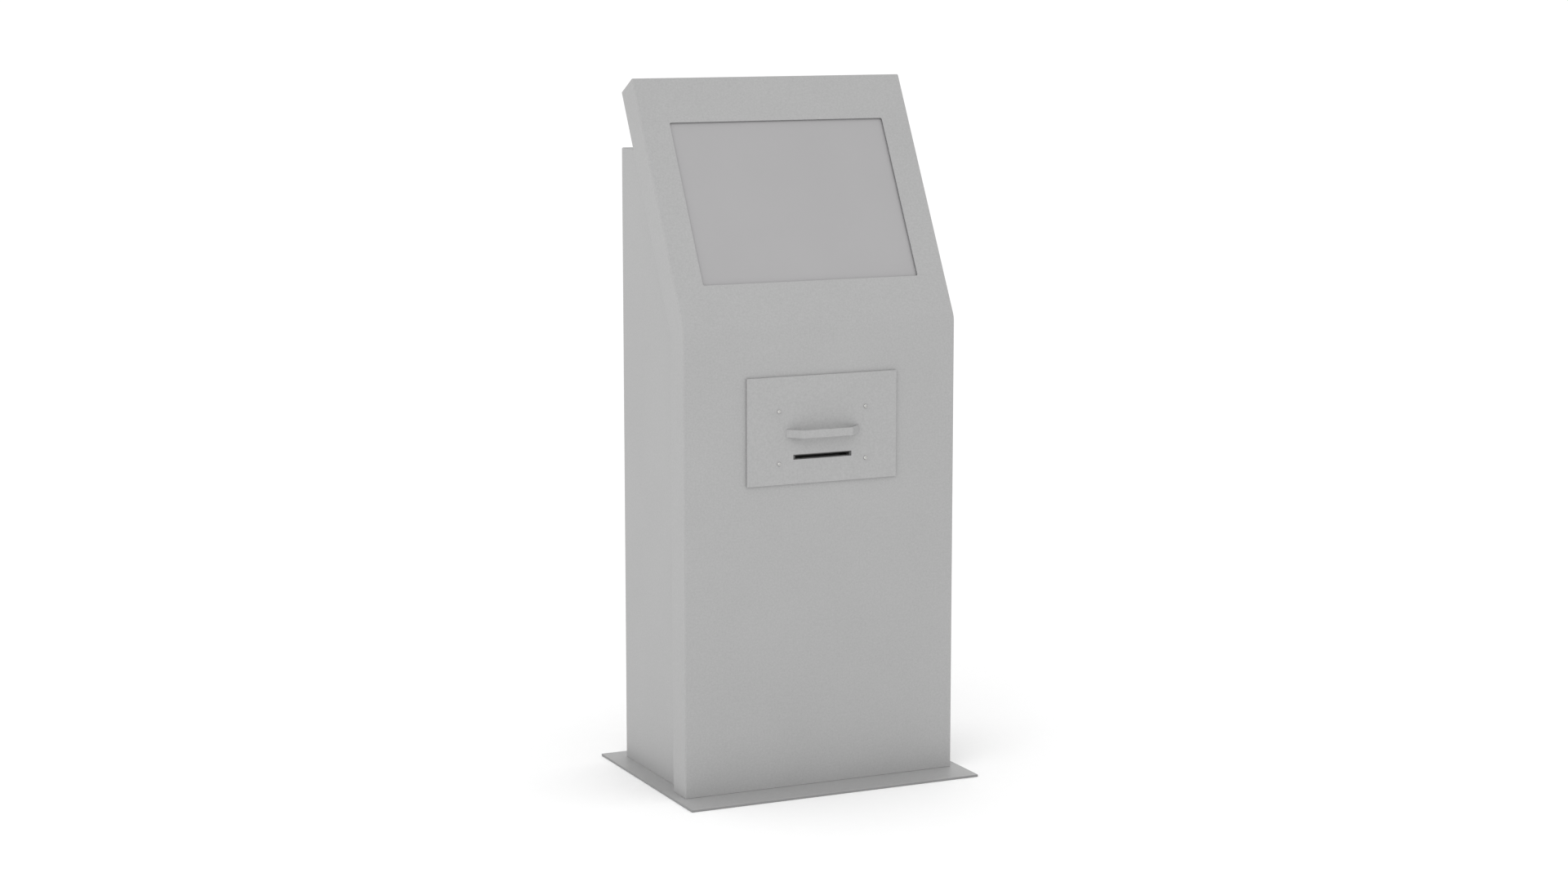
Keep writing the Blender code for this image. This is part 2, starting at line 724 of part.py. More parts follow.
def make_door():
    low = (-DOOR_HALF, BACK_Y - DOOR_RETURN, DOOR_LOW)
    door = rounded(box("rear_door", low, (DOOR_HALF, BACK_Y, DOOR_TOP)), 0.0015, 1)
    hollow = box(
        "door_hollow",
        (-DOOR_HALF + SHEET, BACK_Y - DOOR_RETURN - SHEET, DOOR_LOW + SHEET),
        (DOOR_HALF - SHEET, BACK_Y - SHEET, DOOR_TOP - SHEET),
    )
    fan_hole = cylinder("fan_hole", FAN_BORE, 4 * SHEET, (0, BACK_Y, FAN_HEIGHT), ALONG_Y, 48)
    centre = (LOCK_X, BACK_Y, LOCK_HEIGHT)
    lock_hole = cylinder("lock_hole", LOCK_RADIUS + GAP, 4 * SHEET, centre, ALONG_Y)
    cut(door, hollow, fan_hole, lock_hole)
    for row in range(INTAKE_SLOTS):
        z = DOOR_LOW + INTAKE_RISE + row * INTAKE_PITCH
        low = (-INTAKE_HALF, BACK_Y - 2 * SHEET, z)
        cut(door, box("intake_cut", low, (INTAKE_HALF, BACK_Y + SHEET, z + INTAKE_SLOT)))
    paint(door, CASING)
    carry(door_hinge, door, make_grille())


def make_grille():
    """A square plate over the fan, its slots as long as the fan's circle allows."""
    half = GRILLE_SIZE / 2
    near = BACK_Y + GAP
    low = (-half, near, FAN_HEIGHT - half)
    grille = box("vent_grille", low, (half, near + TRAY_SHEET, FAN_HEIGHT + half))
    for row in range(GRILLE_SLOTS):
        z = FAN_HEIGHT + (row - (GRILLE_SLOTS - 1) / 2) * GRILLE_PITCH
        reach = GRILLE_REACH * math.cos(math.asin((z - FAN_HEIGHT) / GRILLE_CIRCLE))
        low = (-reach, BACK_Y - SHEET, z - GRILLE_SLOT / 2)
        cut(grille, box("grille_cut", low, (reach, BACK_Y + 2 * SHEET, z + GRILLE_SLOT / 2)))
    return paint(grille, CASING)


def knuckle(start, end):
    centre = (HINGE_X, HINGE_Y, (start + end) / 2)
    return cylinder("hinge_knuckle", HINGE_KNUCKLE, end - start, centre)


def pin_bore(middle):
    return cylinder("pin_bore", HINGE_PIN + RUNNING, 2 * HINGE_LENGTH, (HINGE_X, HINGE_Y, middle))


def make_hinge(name, middle):
    """A butt hinge on the back faces of the frame and the door: outer knuckles on the frame's leaf."""
    third = HINGE_LENGTH / 3
    near = BACK_Y + GAP
    far = near + LEAF_THICK
    low = middle - HINGE_LENGTH / 2
    high = middle + HINGE_LENGTH / 2
    overlap = 0.001
    edge = HINGE_X - LEAF_NOTCH
    frame_leaf = box(name + "_frame_leaf", (-BODY_HALF + LEAF_MARGIN, near, low), (edge, far, high))
    for start, end in ((low, low + third), (high - third, high)):
        tab = box("hinge_tab", (edge - overlap, near, start), (HINGE_X, far, end))
        join(frame_leaf, tab, knuckle(start, end))
    cut(frame_leaf, pin_bore(middle))
    start = low + third + GAP
    end = high - third - GAP
    edge = HINGE_X + LEAF_NOTCH
    door_leaf = box(name + "_door_leaf", (edge, near, low), (edge + LEAF_WIDTH, far, high))
    tab = box("hinge_tab", (HINGE_X, near, start), (edge + overlap, far, end))
    join(door_leaf, tab, knuckle(start, end))
    cut(door_leaf, pin_bore(middle))
    half = HINGE_LENGTH / 2 + 0.0005
    head = HINGE_KNUCKLE - 0.001
    profile = [(0, half + PIN_HEAD), (head, half + PIN_HEAD), (head, half)]
    profile += [(HINGE_PIN, half), (HINGE_PIN, -half), (0, -half)]
    pin = turned(name + "_pin", profile, (HINGE_X, HINGE_Y, middle))
    for piece in (frame_leaf, door_leaf, pin):
        paint(piece, BRIGHT)
    carry(door_hinge, door_leaf)


def make_lock():
    """A cam lock: barrel in the door, plug with the cam behind it, and a keeper on the frame."""
    place = (LOCK_X, BACK_Y, LOCK_HEIGHT)
    inner = CAM_Y + CAM_THICK + GAP - BACK_Y
    rim = LOCK_RADIUS + LOCK_RIM
    face = 0.003
    profile = [(0, face), (rim, face), (rim, GAP), (LOCK_RADIUS, GAP)]
    profile += [(LOCK_RADIUS, inner + GAP), (0, inner + GAP)]
    barrel = turned("lock_barrel", profile, place, ALONG_Y)
    cut(barrel, cylinder("plug_bore", PLUG_RADIUS + RUNNING, 0.1, place, ALONG_Y))
    stub = PLUG_RADIUS / 2
    face += 0.0005
    end = inner - CAM_THICK - 0.002
    profile = [(0, face), (PLUG_RADIUS, face), (PLUG_RADIUS, inner), (stub, inner), (stub, end), (0, end)]
    plug = turned("lock_plug", profile, place, ALONG_Y)
    wide, tall = KEY_SLOT
    low = (LOCK_X - wide, BACK_Y - 0.004, LOCK_HEIGHT - tall)
    cut(plug, box("key_cut", low, (LOCK_X + wide, BACK_Y + 0.005, LOCK_HEIGHT + tall)))
    low = (LOCK_X - CAM_HALF, CAM_Y, LOCK_HEIGHT - CAM_LENGTH)
    cam = box("lock_cam", low, (LOCK_X + CAM_HALF, CAM_Y + CAM_THICK, LOCK_HEIGHT + CAM_HALF))
    cut(cam, cylinder("stub_hole", stub + GAP, 0.1, (LOCK_X, CAM_Y, LOCK_HEIGHT), ALONG_Y))
    paint(barrel, BRIGHT)
    paint(plug, BRASS)
    paint(cam, STEEL)
    carry(door_hinge, barrel)
    carry(lock_axis, plug, cam)
    carry(door_hinge, lock_axis)


def make_keeper():
    """An angle on the body's side wall that the cam catches."""
    wall = INNER_HALF - GAP
    bottom = LOCK_HEIGHT - KEEPER_HALF
    top = LOCK_HEIGHT + KEEPER_HALF
    low = (BODY_HALF - DOOR_FRAME + KEEPER_GAP, KEEPER_Y, bottom)
    keeper = box("lock_keeper", low, (wall, KEEPER_Y + SHEET, top))
    low = (wall - SHEET, KEEPER_Y + SHEET / 2, bottom)
    paint(join(keeper, box("keeper_foot", low, (wall, BACK_Y - 3 * SHEET, top))), STEEL)


def make_fan():
    outer = BACK_Y - SHEET - GAP
    inner = outer - FAN_DEPTH
    half = FAN_SIZE / 2
    frame = box("fan_frame", (-half, inner, FAN_HEIGHT - half), (half, outer, FAN_HEIGHT + half))
    rounded(frame, 0.002, 1)
    cut(frame, cylinder("fan_bore", FAN_BORE, 0.1, (0, inner, FAN_HEIGHT), ALONG_Y, 48))
    reach = half - FAN_STRUT
    for turn in (0, 90):
        arm = box("fan_strut", (-reach, inner, -FAN_STRUT), (reach, inner + FAN_FLOOR, FAN_STRUT))
        arm.location.z = FAN_HEIGHT
        arm.rotation_euler = (0, math.radians(turn), 0)
        join(frame, arm)
    centre = (0, inner + FAN_FLOOR / 2, FAN_HEIGHT)
    hub = cylinder("fan_hub_plate", FAN_HUB + 0.001, FAN_FLOOR, centre, ALONG_Y)
    spindle_end = outer - 0.006
    centre = (0, (inner + spindle_end) / 2, FAN_HEIGHT)
    spindle = cylinder("fan_spindle", SHAFT_RADIUS, spindle_end - inner, centre, ALONG_Y)
    paint(join(frame, hub, spindle), BLACK)
    carry(door_hinge, frame, fan_axis)
    carry(fan_axis, make_rotor(inner + FAN_FLOOR + 0.001, outer - 0.002, spindle_end))


def make_rotor(start, end, spindle_end):
    """The fan's hub and twisted blades, bored blind for the spindle."""
    middle = (start + end) / 2
    rotor = cylinder("fan_rotor", FAN_HUB, end - start, (0, middle, FAN_HEIGHT), ALONG_Y)
    root = FAN_HUB - 0.002
    tip = FAN_BORE - BLADE_CLEARANCE
    centre = (root + tip) / 2
    wide = BLADE_THICK / 2
    twist = Matrix.Rotation(math.radians(BLADE_TWIST), 3, "Z")
    for blade in range(FAN_BLADES):
        angle = 2 * math.pi * blade / FAN_BLADES
        vane = box("fan_blade", (-wide, -BLADE_CHORD / 2, root), (wide, BLADE_CHORD / 2, tip))
        vane.location = (centre * math.sin(angle), middle, FAN_HEIGHT + centre * math.cos(angle))
        vane.rotation_euler = (Matrix.Rotation(angle, 3, "Y") @ twist).to_euler()
        join(rotor, vane)
    bore_end = spindle_end + GAP
    bore_start = start - FAN_FLOOR - 0.001
    centre = (0, (bore_end + bore_start) / 2, FAN_HEIGHT)
    bore = cylinder("rotor_bore", SHAFT_RADIUS + RUNNING, bore_end - bore_start, centre, ALONG_Y)
    return paint(cut(rotor, bore), BLACK)


rocker_axis = empty("rocker_axis", (ROCKER_X, BACK_Y - ROCKER_SETBACK, INLET_Z))


def make_inlet():
    """A flush mains socket with a rocker switch beside it, in the body's sill."""
    half = INLET_WIDTH / 2 - GAP
    rise = INLET_HEIGHT / 2 - GAP
    near = BACK_Y + GAP
    low = (INLET_X - half, BACK_Y - INLET_DEPTH, INLET_Z - rise)
    inlet = box("mains_inlet", low, (INLET_X + half, near + 0.001, INLET_Z + rise))
    half += INLET_RIM
    rise += INLET_RIM
    low = (INLET_X - half, near, INLET_Z - rise)
    rim = box("inlet_rim", low, (INLET_X + half, near + INLET_RIM_THICK, INLET_Z + rise))
    join(inlet, rounded(rim, 0.0008, 1))
    out = near + 0.01
    half, rise = SOCKET_HALF
    low = (SOCKET_X - half, BACK_Y - SOCKET_DEPTH, INLET_Z - rise)
    socket = box("socket_cut", low, (SOCKET_X + half, out, INLET_Z + rise))
    half = ROCKER_HALF + GAP
    rise = ROCKER_RADIUS + GAP
    low = (ROCKER_X - half, BACK_Y - ROCKER_SETBACK - rise, INLET_Z - rise)
    well = box("rocker_well", low, (ROCKER_X + half, out, INLET_Z + rise))
    centre = rocker_axis.location
    length = 2 * (ROCKER_HALF + TRUNNION_LENGTH + GAP) + 0.0002
    trunnion = cylinder("trunnion_bore", TRUNNION_RADIUS + RUNNING, length, centre, ALONG_X)
    paint(cut(inlet, socket, well, trunnion), BLACK)
    rocker = cylinder("power_rocker", ROCKER_RADIUS, 2 * ROCKER_HALF, centre, ALONG_X)
    size = 0.02
    for side in (-1, 1):
        lean = math.radians(side * ROCKER_TILT - ROCKER_TILT)
        top = box("rocker_cut", (-size, 0.0, -size), (size, size, size))
        top.rotation_euler = (lean, 0, 0)
        top.location = centre + Matrix.Rotation(lean, 3, "X") @ Vector((0, ROCKER_FACE + size / 2, 0))
        cut(rocker, top)
    length = 2 * (ROCKER_HALF + TRUNNION_LENGTH)
    pins = cylinder("rocker_pins", TRUNNION_RADIUS, length, centre, ALONG_X)
    paint(join(rocker, pins), BLACK)
    carry(rocker_axis, rocker)


# Pull-out cash module

module_axis = empty("cash_module", (0, FRONT_Y, SLIDE_Z))


def make_plate():
    low = (-PLATE_WIDTH / 2, PLATE_FRONT_Y, PLATE_LOW)
    high = (PLATE_WIDTH / 2, PLATE_BACK_Y, PLATE_LOW + PLATE_HEIGHT)
    plate = rounded(box("module_plate", low, high), 0.0008, 2)
    half = SLOT_WIDTH / 2
    slot = box(
        "slot_cut",
        (-half, PLATE_FRONT_Y - SHEET, SLOT_Z - SLOT_HEIGHT / 2),
        (half, PLATE_BACK_Y + SHEET, SLOT_Z + SLOT_HEIGHT / 2),
    )
    cut(plate, slot)
    screw_holes(plate)
    paint(plate, CASING)
    carry(module_axis, plate)


def make_screws():
    """Four round-head screws that hold the plate to the tray's front wall."""
    shank = SCREW_HEAD / 4
    head = SCREW_HEAD / 2
    tip = -PLATE_THICK - GAP - TRAY_SHEET - SCREW_END
    number = 0
    for rise in (SCREW_HIGH, SCREW_LOW):
        for side in (-1, 1):
            number += 1
            x = side * SCREW_SPACING / 2
            z = PLATE_LOW + rise
            profile = [(0, SCREW_DOME + GAP), (head * 0.55, SCREW_DOME * 0.85 + GAP)]
            profile += [(head * 0.88, SCREW_DOME * 0.5 + GAP), (head, GAP), (shank, GAP)]
            profile += [(shank, tip), (0, tip)]
            name = f"plate_screw_{number}"
            screw = turned(name, profile, (x, PLATE_FRONT_Y, z), (math.radians(90), 0, 0), 24)
            centre = (x, PLATE_FRONT_Y - SCREW_DOME, z)
            cut(screw, cylinder("drive_cut", head * 0.45, SCREW_DRIVE, centre, ALONG_Y, 6))
            paint(screw, BRIGHT)
            carry(module_axis, screw)


def screw_holes(piece):
    """Clearance holes for the plate's screws, through one piece."""
    for rise in (SCREW_HIGH, SCREW_LOW):
        for side in (-1, 1):
            centre = (side * SCREW_SPACING / 2, FRONT_Y, PLATE_LOW + rise)
            cut(piece, cylinder("screw_hole", SCREW_HEAD / 4 + GAP, 0.03, centre, ALONG_Y, 24))


def make_handle():
    """A flat strap bent to a shallow bow, its two ends on the plate."""
    half = HANDLE_WIDTH / 2
    flat = HANDLE_FLAT / 2
    near = PLATE_FRONT_Y - GAP
    far = PLATE_FRONT_Y - HANDLE_REACH
    lean = math.atan2(half - flat, near - far)
    fold = HANDLE_THICK * math.tan((math.radians(90) - lean) / 2)
    side = HANDLE_THICK / math.cos(lean)
    outer = [(-half, near), (-flat, far), (flat, far), (half, near)]
    inner = [
        (half - side, near),
        (flat - fold, far + HANDLE_THICK),
        (-flat + fold, far + HANDLE_THICK),
        (-half + side, near),
    ]
    centre = (0, 0, PLATE_LOW + HANDLE_RISE + HANDLE_HEIGHT / 2)
    handle = outline("pull_handle", [outer + inner], HANDLE_HEIGHT, centre)
    paint(rounded(handle, 0.0008, 2, 20), CASING)
    carry(module_axis, handle)


def make_tray():
    back = FRONT_Y + TRAY_DEPTH
    tray = box("module_tray", (-TRAY_HALF, FRONT_Y, TRAY_LOW), (TRAY_HALF, back, TRAY_TOP))
    wall = TRAY_SHEET
    hollow = box(
        "tray_hollow",
        (-TRAY_HALF + wall, FRONT_Y + wall, TRAY_FLOOR),
        (TRAY_HALF - wall, back - wall, TRAY_TOP + wall),
    )
    reach = SLOT_WIDTH / 2 + GAP
    slot = box(
        "tray_slot",
        (-reach, FRONT_Y - wall, SLOT_Z - SLOT_HEIGHT / 2 - GAP),
        (reach, FRONT_Y + 2 * wall, SLOT_Z + SLOT_HEIGHT / 2 + GAP),
    )
    cut(tray, hollow, slot)
    screw_holes(tray)
    paint(tray, STEEL)
    carry(module_axis, tray)


def slide_section(name, opens, lips, height, side):
    """A C section between two depths from the bay's edge, its web on the side it does not open to."""
    half = height / 2
    near, far = lips
    thick = SLIDE_THICK
    if opens == "inward":
        points = [(near, half), (far, half), (far, half - thick), (near + thick, half - thick)]
        points += [(near + thick, -half + thick), (far, -half + thick), (far, -half), (near, -half)]
    else:
        points = [(near, half), (far, half), (far, -half), (near, -half), (near, -half + thick)]
        points += [(far - thick, -half + thick), (far - thick, half - thick), (near, half - thick)]
    points = [(side * (SLIDE_OUT_X - depth), z) for depth, z in points]
    centre = (0, SLIDE_Y + SLIDE_LENGTH / 2, SLIDE_Z)
    return paint(outline(name, [points], SLIDE_LENGTH, centre, EXTRUDE_Y), STEEL)


def make_slides():
    """Three-part drawer slides on angle brackets, and the shelf that carries them."""
    step = 2 * SLIDE_THICK + SLIDE_PLAY
    for label, side in (("left", -1), ("right", 1)):
        slide_section(f"slide_outer_{label}", "inward", SLIDE_OUTER, SLIDE_HEIGHT, side)
        middle = slide_section(f"slide_middle_{label}", "inward", SLIDE_MIDDLE, SLIDE_HEIGHT - step, side)
        reach = (SLIDE_INNER, SLIDE_WIDTH)
        inner = slide_section(f"slide_inner_{label}", "outward", reach, SLIDE_HEIGHT - 2 * step, side)
        carry(empty(f"slide_middle_axis_{label}", (side * SLIDE_OUT_X, SLIDE_Y, SLIDE_Z)), middle)
        carry(module_axis, inner)
        make_slide_bracket(f"slide_bracket_{label}", side)
    back = FRONT_Y + TRAY_DEPTH + 0.010
    shelf("module_shelf", SHELF_TOP, SHELF_DROP, SHELF_FRONT, back, SHELF_HALF)


def make_slide_bracket(name, side):
    near = SLIDE_OUT_X + GAP
    low = SHELF_TOP + GAP
    end = SLIDE_Y + SLIDE_LENGTH
    wall = sorted((side * near, side * (near + SHEET)))
    foot = sorted((side * near, side * (near + SLIDE_FOOT)))
    upright = box(name, (wall[0], SLIDE_Y, low), (wall[1], end, SLIDE_Z + SLIDE_HEIGHT / 2))
    base = box("bracket_foot", (foot[0], SHELF_FRONT, low), (foot[1], end, low + SHEET))
    paint(join(upright, base), STEEL)


shutter_axis = empty("shutter_axis", (0, FLAP_Y, FLAP_Z))


def make_throat():
    """The black guide that lines the slot, with ears for the shutter."""
    reach = SLOT_WIDTH / 2 - GAP
    rise = SLOT_HEIGHT / 2 - GAP
    end = FRONT_Y + THROAT_DEPTH
    low = (-reach, PLATE_FRONT_Y + 0.0008, SLOT_Z - rise)
    throat = box("slot_throat", low, (reach, end, SLOT_Z + rise))
    reach = TRANSPORT_HALF + THROAT_EAR
    near = FRONT_Y + TRAY_SHEET + GAP
    low = (-reach, near, SLOT_Z - THROAT_LOW)
    join(throat, box("throat_flange", low, (reach, near + SHEET, SLOT_Z + THROAT_TOP)))
    for side in (-1, 1):
        inner, outer = sorted((side * (TRANSPORT_HALF - THROAT_EAR), side * reach))
        low = (inner, FRONT_Y + SHEET, SLOT_Z + EAR_LOW)
        join(throat, box("throat_ear", low, (outer, FLAP_Y + FLAP_SETBACK, SLOT_Z + THROAT_TOP)))
    rise = CHANNEL_HEIGHT / 2
    low = (-CHANNEL_HALF, PLATE_FRONT_Y - SHEET, SLOT_Z - rise)
    channel = box("channel_cut", low, (CHANNEL_HALF, end + SHEET, SLOT_Z + rise))
    pivots = cylinder("pivot_bore", FLAP_PIVOT + RUNNING, 0.2, (0, FLAP_Y, FLAP_Z), ALONG_X)
    paint(cut(throat, channel, pivots), BLACK)
    half = TRANSPORT_HALF - THROAT_EAR - 2 * GAP
    low = (-half, FLAP_Y - FLAP_THICK / 2, SLOT_Z - FLAP_DROP)
    shutter = box("slot_shutter", low, (half, FLAP_Y + FLAP_THICK / 2, FLAP_Z))
    length = 2 * TRANSPORT_HALF + 0.002
    rod = cylinder("shutter_rod", FLAP_PIVOT, length, (0, FLAP_Y, FLAP_Z), ALONG_X)
    paint(join(shutter, rod), BLACK)
    carry(module_axis, throat)
    carry(shutter_axis, shutter)
    carry(module_axis, shutter_axis)


feed_axis = empty("feed_axis", (0, ROLLER_Y, FEED_Z))
pinch_axis = empty("pinch_axis", (0, ROLLER_Y, PINCH_Z))
motor_axis = empty("motor_axis", (0, MOTOR_Y, MOTOR_Z))


def gear_outline(teeth, first_tooth):
    """Involute teeth at a 20 degree pressure angle, thinned for backlash; first_tooth in degrees."""
    pressure = math.radians(20)
    pitch = GEAR_MODULE * teeth / 2
    base = pitch * math.cos(pressure)
    root = pitch - 1.2 * GEAR_MODULE
    tip = pitch + 0.95 * GEAR_MODULE
    half = math.pi / (2 * teeth) - 0.00015 / pitch
    start = max(base, root)
    flank = []
    for step in range(4):
        radius = start + (tip - start) * step / 3
        roll = math.acos(min(1.0, base / radius))
        flank.append((radius, half + math.tan(pressure) - pressure - math.tan(roll) + roll))
    if root < base:
        flank.insert(0, (root, flank[0][1]))
    points = []
    for tooth in range(teeth):
        middle = math.radians(first_tooth) + 2 * math.pi * tooth / teeth
        side = [(radius, middle - turn) for radius, turn in flank]
        side += [(radius, middle + turn) for radius, turn in reversed(flank)]
        points += [(radius * math.cos(angle), radius * math.sin(angle)) for radius, angle in side]
    return points


def make_transport_plate(name, side):
    """One of the two plates that carry the rollers; the right one also clears the motor's boss."""
    low = TRAY_FLOOR + GAP
    front = ROLLER_Y - 0.014
    back = MOTOR_Y + MOTOR_RADIUS + 0.006
    near = side * TRANSPORT_HALF
    wall = sorted((near, near + side * SHEET))
    foot = sorted((near, near + side * 0.015))
    plate = box(name, (wall[0], front, low), (wall[1], back, MOTOR_Z + MOTOR_RADIUS + 0.003))
    join(plate, box("plate_foot", (foot[0], front, low), (foot[1], back, low + SHEET)))
    x = sum(wall) / 2
    for z in (FEED_Z, PINCH_Z):
        cut(plate, cylinder("shaft_bore", SHAFT_RADIUS + RUNNING, 0.01, (x, ROLLER_Y, z), ALONG_X))
    if side > 0:
        cut(plate, cylinder("boss_hole", MOTOR_SHAFT + 0.002, 0.01, (x, MOTOR_Y, MOTOR_Z), ALONG_X))
    paint(plate, STEEL)
    carry(module_axis, plate)


def make_roller(name, z, right, guide):
    """A shaft from the left plate to a given end, with a rubber roller on it."""
    end = TRANSPORT_HALF + SHEET + SHAFT_END
    centre = ((right - end) / 2, ROLLER_Y, z)
    shaft = cylinder(name + "_shaft", SHAFT_RADIUS, right + end, centre, ALONG_X)
    length = 2 * (TRANSPORT_HALF - ROLLER_SIDE)
    roller = cylinder(name + "_roller", ROLLER_RADIUS, length, (0, ROLLER_Y, z), ALONG_X)
    cut(roller, cylinder("roller_bore", SHAFT_RADIUS + RUNNING, 0.2, (0, ROLLER_Y, z), ALONG_X))
    paint(shaft, BRIGHT)
    paint(roller, RUBBER)
    carry(guide, shaft, roller)
    carry(module_axis, guide)


def make_transport():
    make_transport_plate("transport_plate_left", -1)
    make_transport_plate("transport_plate_right", 1)
    make_roller("feed", FEED_Z, GEAR_X + GEAR_WIDTH / 2 + 0.002, feed_axis)
    make_roller("pinch", PINCH_Z, TRANSPORT_HALF + SHEET + SHAFT_END, pinch_axis)
    teeth = gear_outline(FEED_TEETH, MESH_ANGLE)
    gear = outline("feed_gear", [teeth], GEAR_WIDTH, (GEAR_X, ROLLER_Y, FEED_Z), EXTRUDE_X)
    bore = cylinder("gear_bore", SHAFT_RADIUS + RUNNING, 0.02, (GEAR_X, ROLLER_Y, FEED_Z), ALONG_X)
    paint(cut(gear, bore), GREY_PLASTIC)
    carry(feed_axis, gear)
    teeth = gear_outline(PINION_TEETH, MESH_ANGLE + 180 + 180 / PINION_TEETH)
    pinion = outline("motor_pinion", [teeth], GEAR_WIDTH, (GEAR_X, MOTOR_Y, MOTOR_Z), EXTRUDE_X)
    x = GEAR_X + GEAR_WIDTH / 2 + 0.001 - PINION_SHAFT / 2
    shaft = cylinder("pinion_shaft", MOTOR_SHAFT, PINION_SHAFT, (x, MOTOR_Y, MOTOR_Z), ALONG_X)
    paint(join(pinion, shaft), BRASS)
    carry(motor_axis, pinion)
    carry(module_axis, motor_axis)
    end = TRANSPORT_HALF - GAP
    centre = (end - MOTOR_LENGTH / 2, MOTOR_Y, MOTOR_Z)
    motor = rounded(cylinder("feed_motor", MOTOR_RADIUS, MOTOR_LENGTH, centre, ALONG_X), 0.0015, 1, 40)
    centre = (end, MOTOR_Y, MOTOR_Z)
    cut(motor, cylinder("motor_bore", MOTOR_SHAFT + RUNNING, MOTOR_BORE, centre, ALONG_X))
    paint(motor, STEEL)
    carry(module_axis, motor)


bail_axis = empty("bail_axis", (0, BAIL_Y, BAIL_Z))
pusher_axis = empty("pusher_axis", (0, PUSHER_Y, CASSETTE_LOW))


def make_cassette():
    half = CASSETTE_WIDTH / 2
    back = CASSETTE_Y + CASSETTE_DEPTH
    wall = CASSETTE_WALL
    body = box("cassette_body", (-half, CASSETTE_Y, CASSETTE_LOW), (half, back, CASSETTE_TOP))
    rounded(body, 0.001, 1)
    low = (-half + wall, CASSETTE_Y + wall, CASSETTE_LOW + wall)
    hollow = box("cassette_hollow", low, (half - wall, back - wall, CASSETTE_TOP + wall))
    reach = CHANNEL_HALF + MOUTH_MARGIN
    low = (-reach, CASSETTE_Y - wall, SLOT_Z - MOUTH_HALF)
    mouth = box("cassette_mouth", low, (reach, CASSETTE_Y + 2 * wall, SLOT_Z + MOUTH_HALF))
    paint(cut(body, hollow, mouth), GREY_PLASTIC)
    lid = box("cassette_lid", (-half, CASSETTE_Y, CASSETTE_TOP + GAP), (half, back, LID_TOP))
    rounded(lid, 0.0005, 1)
    for side in (-1, 1):
        near, far = sorted((side * EAR_X, side * (EAR_X + EAR_THICK)))
        low = (near, BAIL_Y - EAR_HALF, LID_TOP - 0.001)
        join(lid, box("lid_ear", low, (far, BAIL_Y + EAR_HALF, BAIL_Z + EAR_RISE)))
    cut(lid, cylinder("bail_bore", BAIL_RADIUS + 2 * RUNNING, 0.2, (0, BAIL_Y, BAIL_Z), ALONG_X))
    paint(lid, GREY_PLASTIC)
    reach = half - wall - GAP
    low = (-reach, PUSHER_Y, CASSETTE_LOW + wall + GAP)
    pusher = box("pusher_plate", low, (reach, PUSHER_Y + PUSHER_THICK, CASSETTE_TOP - PUSHER_DROP))
    paint(rounded(pusher, 0.0005, 1), STEEL)
    carry(pusher_axis, pusher)
    make_bail()
    carry(module_axis, body, lid, bail_axis, pusher_axis)


def make_bail():
    """The cassette's carrying handle: a round bar whose ends turn in into the lid's ears."""
    bend = BAIL_BEND
    near = bend / 2
    right = [(EAR_X - 0.003, 0, 0)]
    right += [(x, y, 0) for x, y in arc((BAIL_HALF - near, near), near, -90, 0, 4)]
    right += [(x, y, 0) for x, y in arc((BAIL_HALF - bend, BAIL_LENGTH - bend), bend, 0, 90, 5)]
    left = [(-x, y, z) for x, y, z in reversed(right)]
    bail = tube("cassette_bail", right + left, BAIL_RADIUS, (0, BAIL_Y, BAIL_Z))
    paint(bail, BLACK)
    carry(bail_axis, bail)


make_base_plate()
make_front()
make_body()
make_head_back()
make_screen()
make_equipment()
make_door()
for label, height in zip(("lower", "upper"), HINGE_HEIGHTS):
    make_hinge(f"{label}_hinge", height)
make_lock()
make_keeper()
make_fan()
make_inlet()
make_plate()
make_screws()
make_handle()
make_tray()
make_slides()
make_throat()
make_transport()
make_cassette()
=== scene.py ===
# Floor-standing cash kiosk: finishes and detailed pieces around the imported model.
import json
import math

import bmesh
import bpy
from mathutils import Matrix, Vector


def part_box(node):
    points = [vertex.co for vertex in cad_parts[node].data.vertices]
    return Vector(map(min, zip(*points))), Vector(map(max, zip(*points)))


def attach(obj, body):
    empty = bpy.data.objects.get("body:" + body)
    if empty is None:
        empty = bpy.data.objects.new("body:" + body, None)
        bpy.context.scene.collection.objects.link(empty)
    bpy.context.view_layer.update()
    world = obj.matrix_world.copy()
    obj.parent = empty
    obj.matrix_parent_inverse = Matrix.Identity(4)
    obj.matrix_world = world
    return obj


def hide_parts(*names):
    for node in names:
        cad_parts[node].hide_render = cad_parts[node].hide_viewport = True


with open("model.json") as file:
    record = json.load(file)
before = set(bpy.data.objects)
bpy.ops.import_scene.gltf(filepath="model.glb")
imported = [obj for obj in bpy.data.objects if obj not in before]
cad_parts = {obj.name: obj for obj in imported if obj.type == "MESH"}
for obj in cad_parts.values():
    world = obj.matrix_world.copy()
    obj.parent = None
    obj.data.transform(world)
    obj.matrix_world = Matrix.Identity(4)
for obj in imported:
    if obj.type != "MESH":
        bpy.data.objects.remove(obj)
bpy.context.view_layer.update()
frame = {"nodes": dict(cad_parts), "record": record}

print("frame loaded")

mm = 0.001
gap = 0.3 * mm  # air between pieces that only touch
sheet = 2 * mm  # folded steel of the front, body and door


def linearColour(hexColour):
    # sRGB hex to the linear values that a shader takes
    channels = [int(hexColour[i : i + 2], 16) / 255 for i in (1, 3, 5)]
    linear = [c / 12.92 if c <= 0.04045 else ((c + 0.055) / 1.055) ** 2.4 for c in channels]
    return (*linear, 1.0)


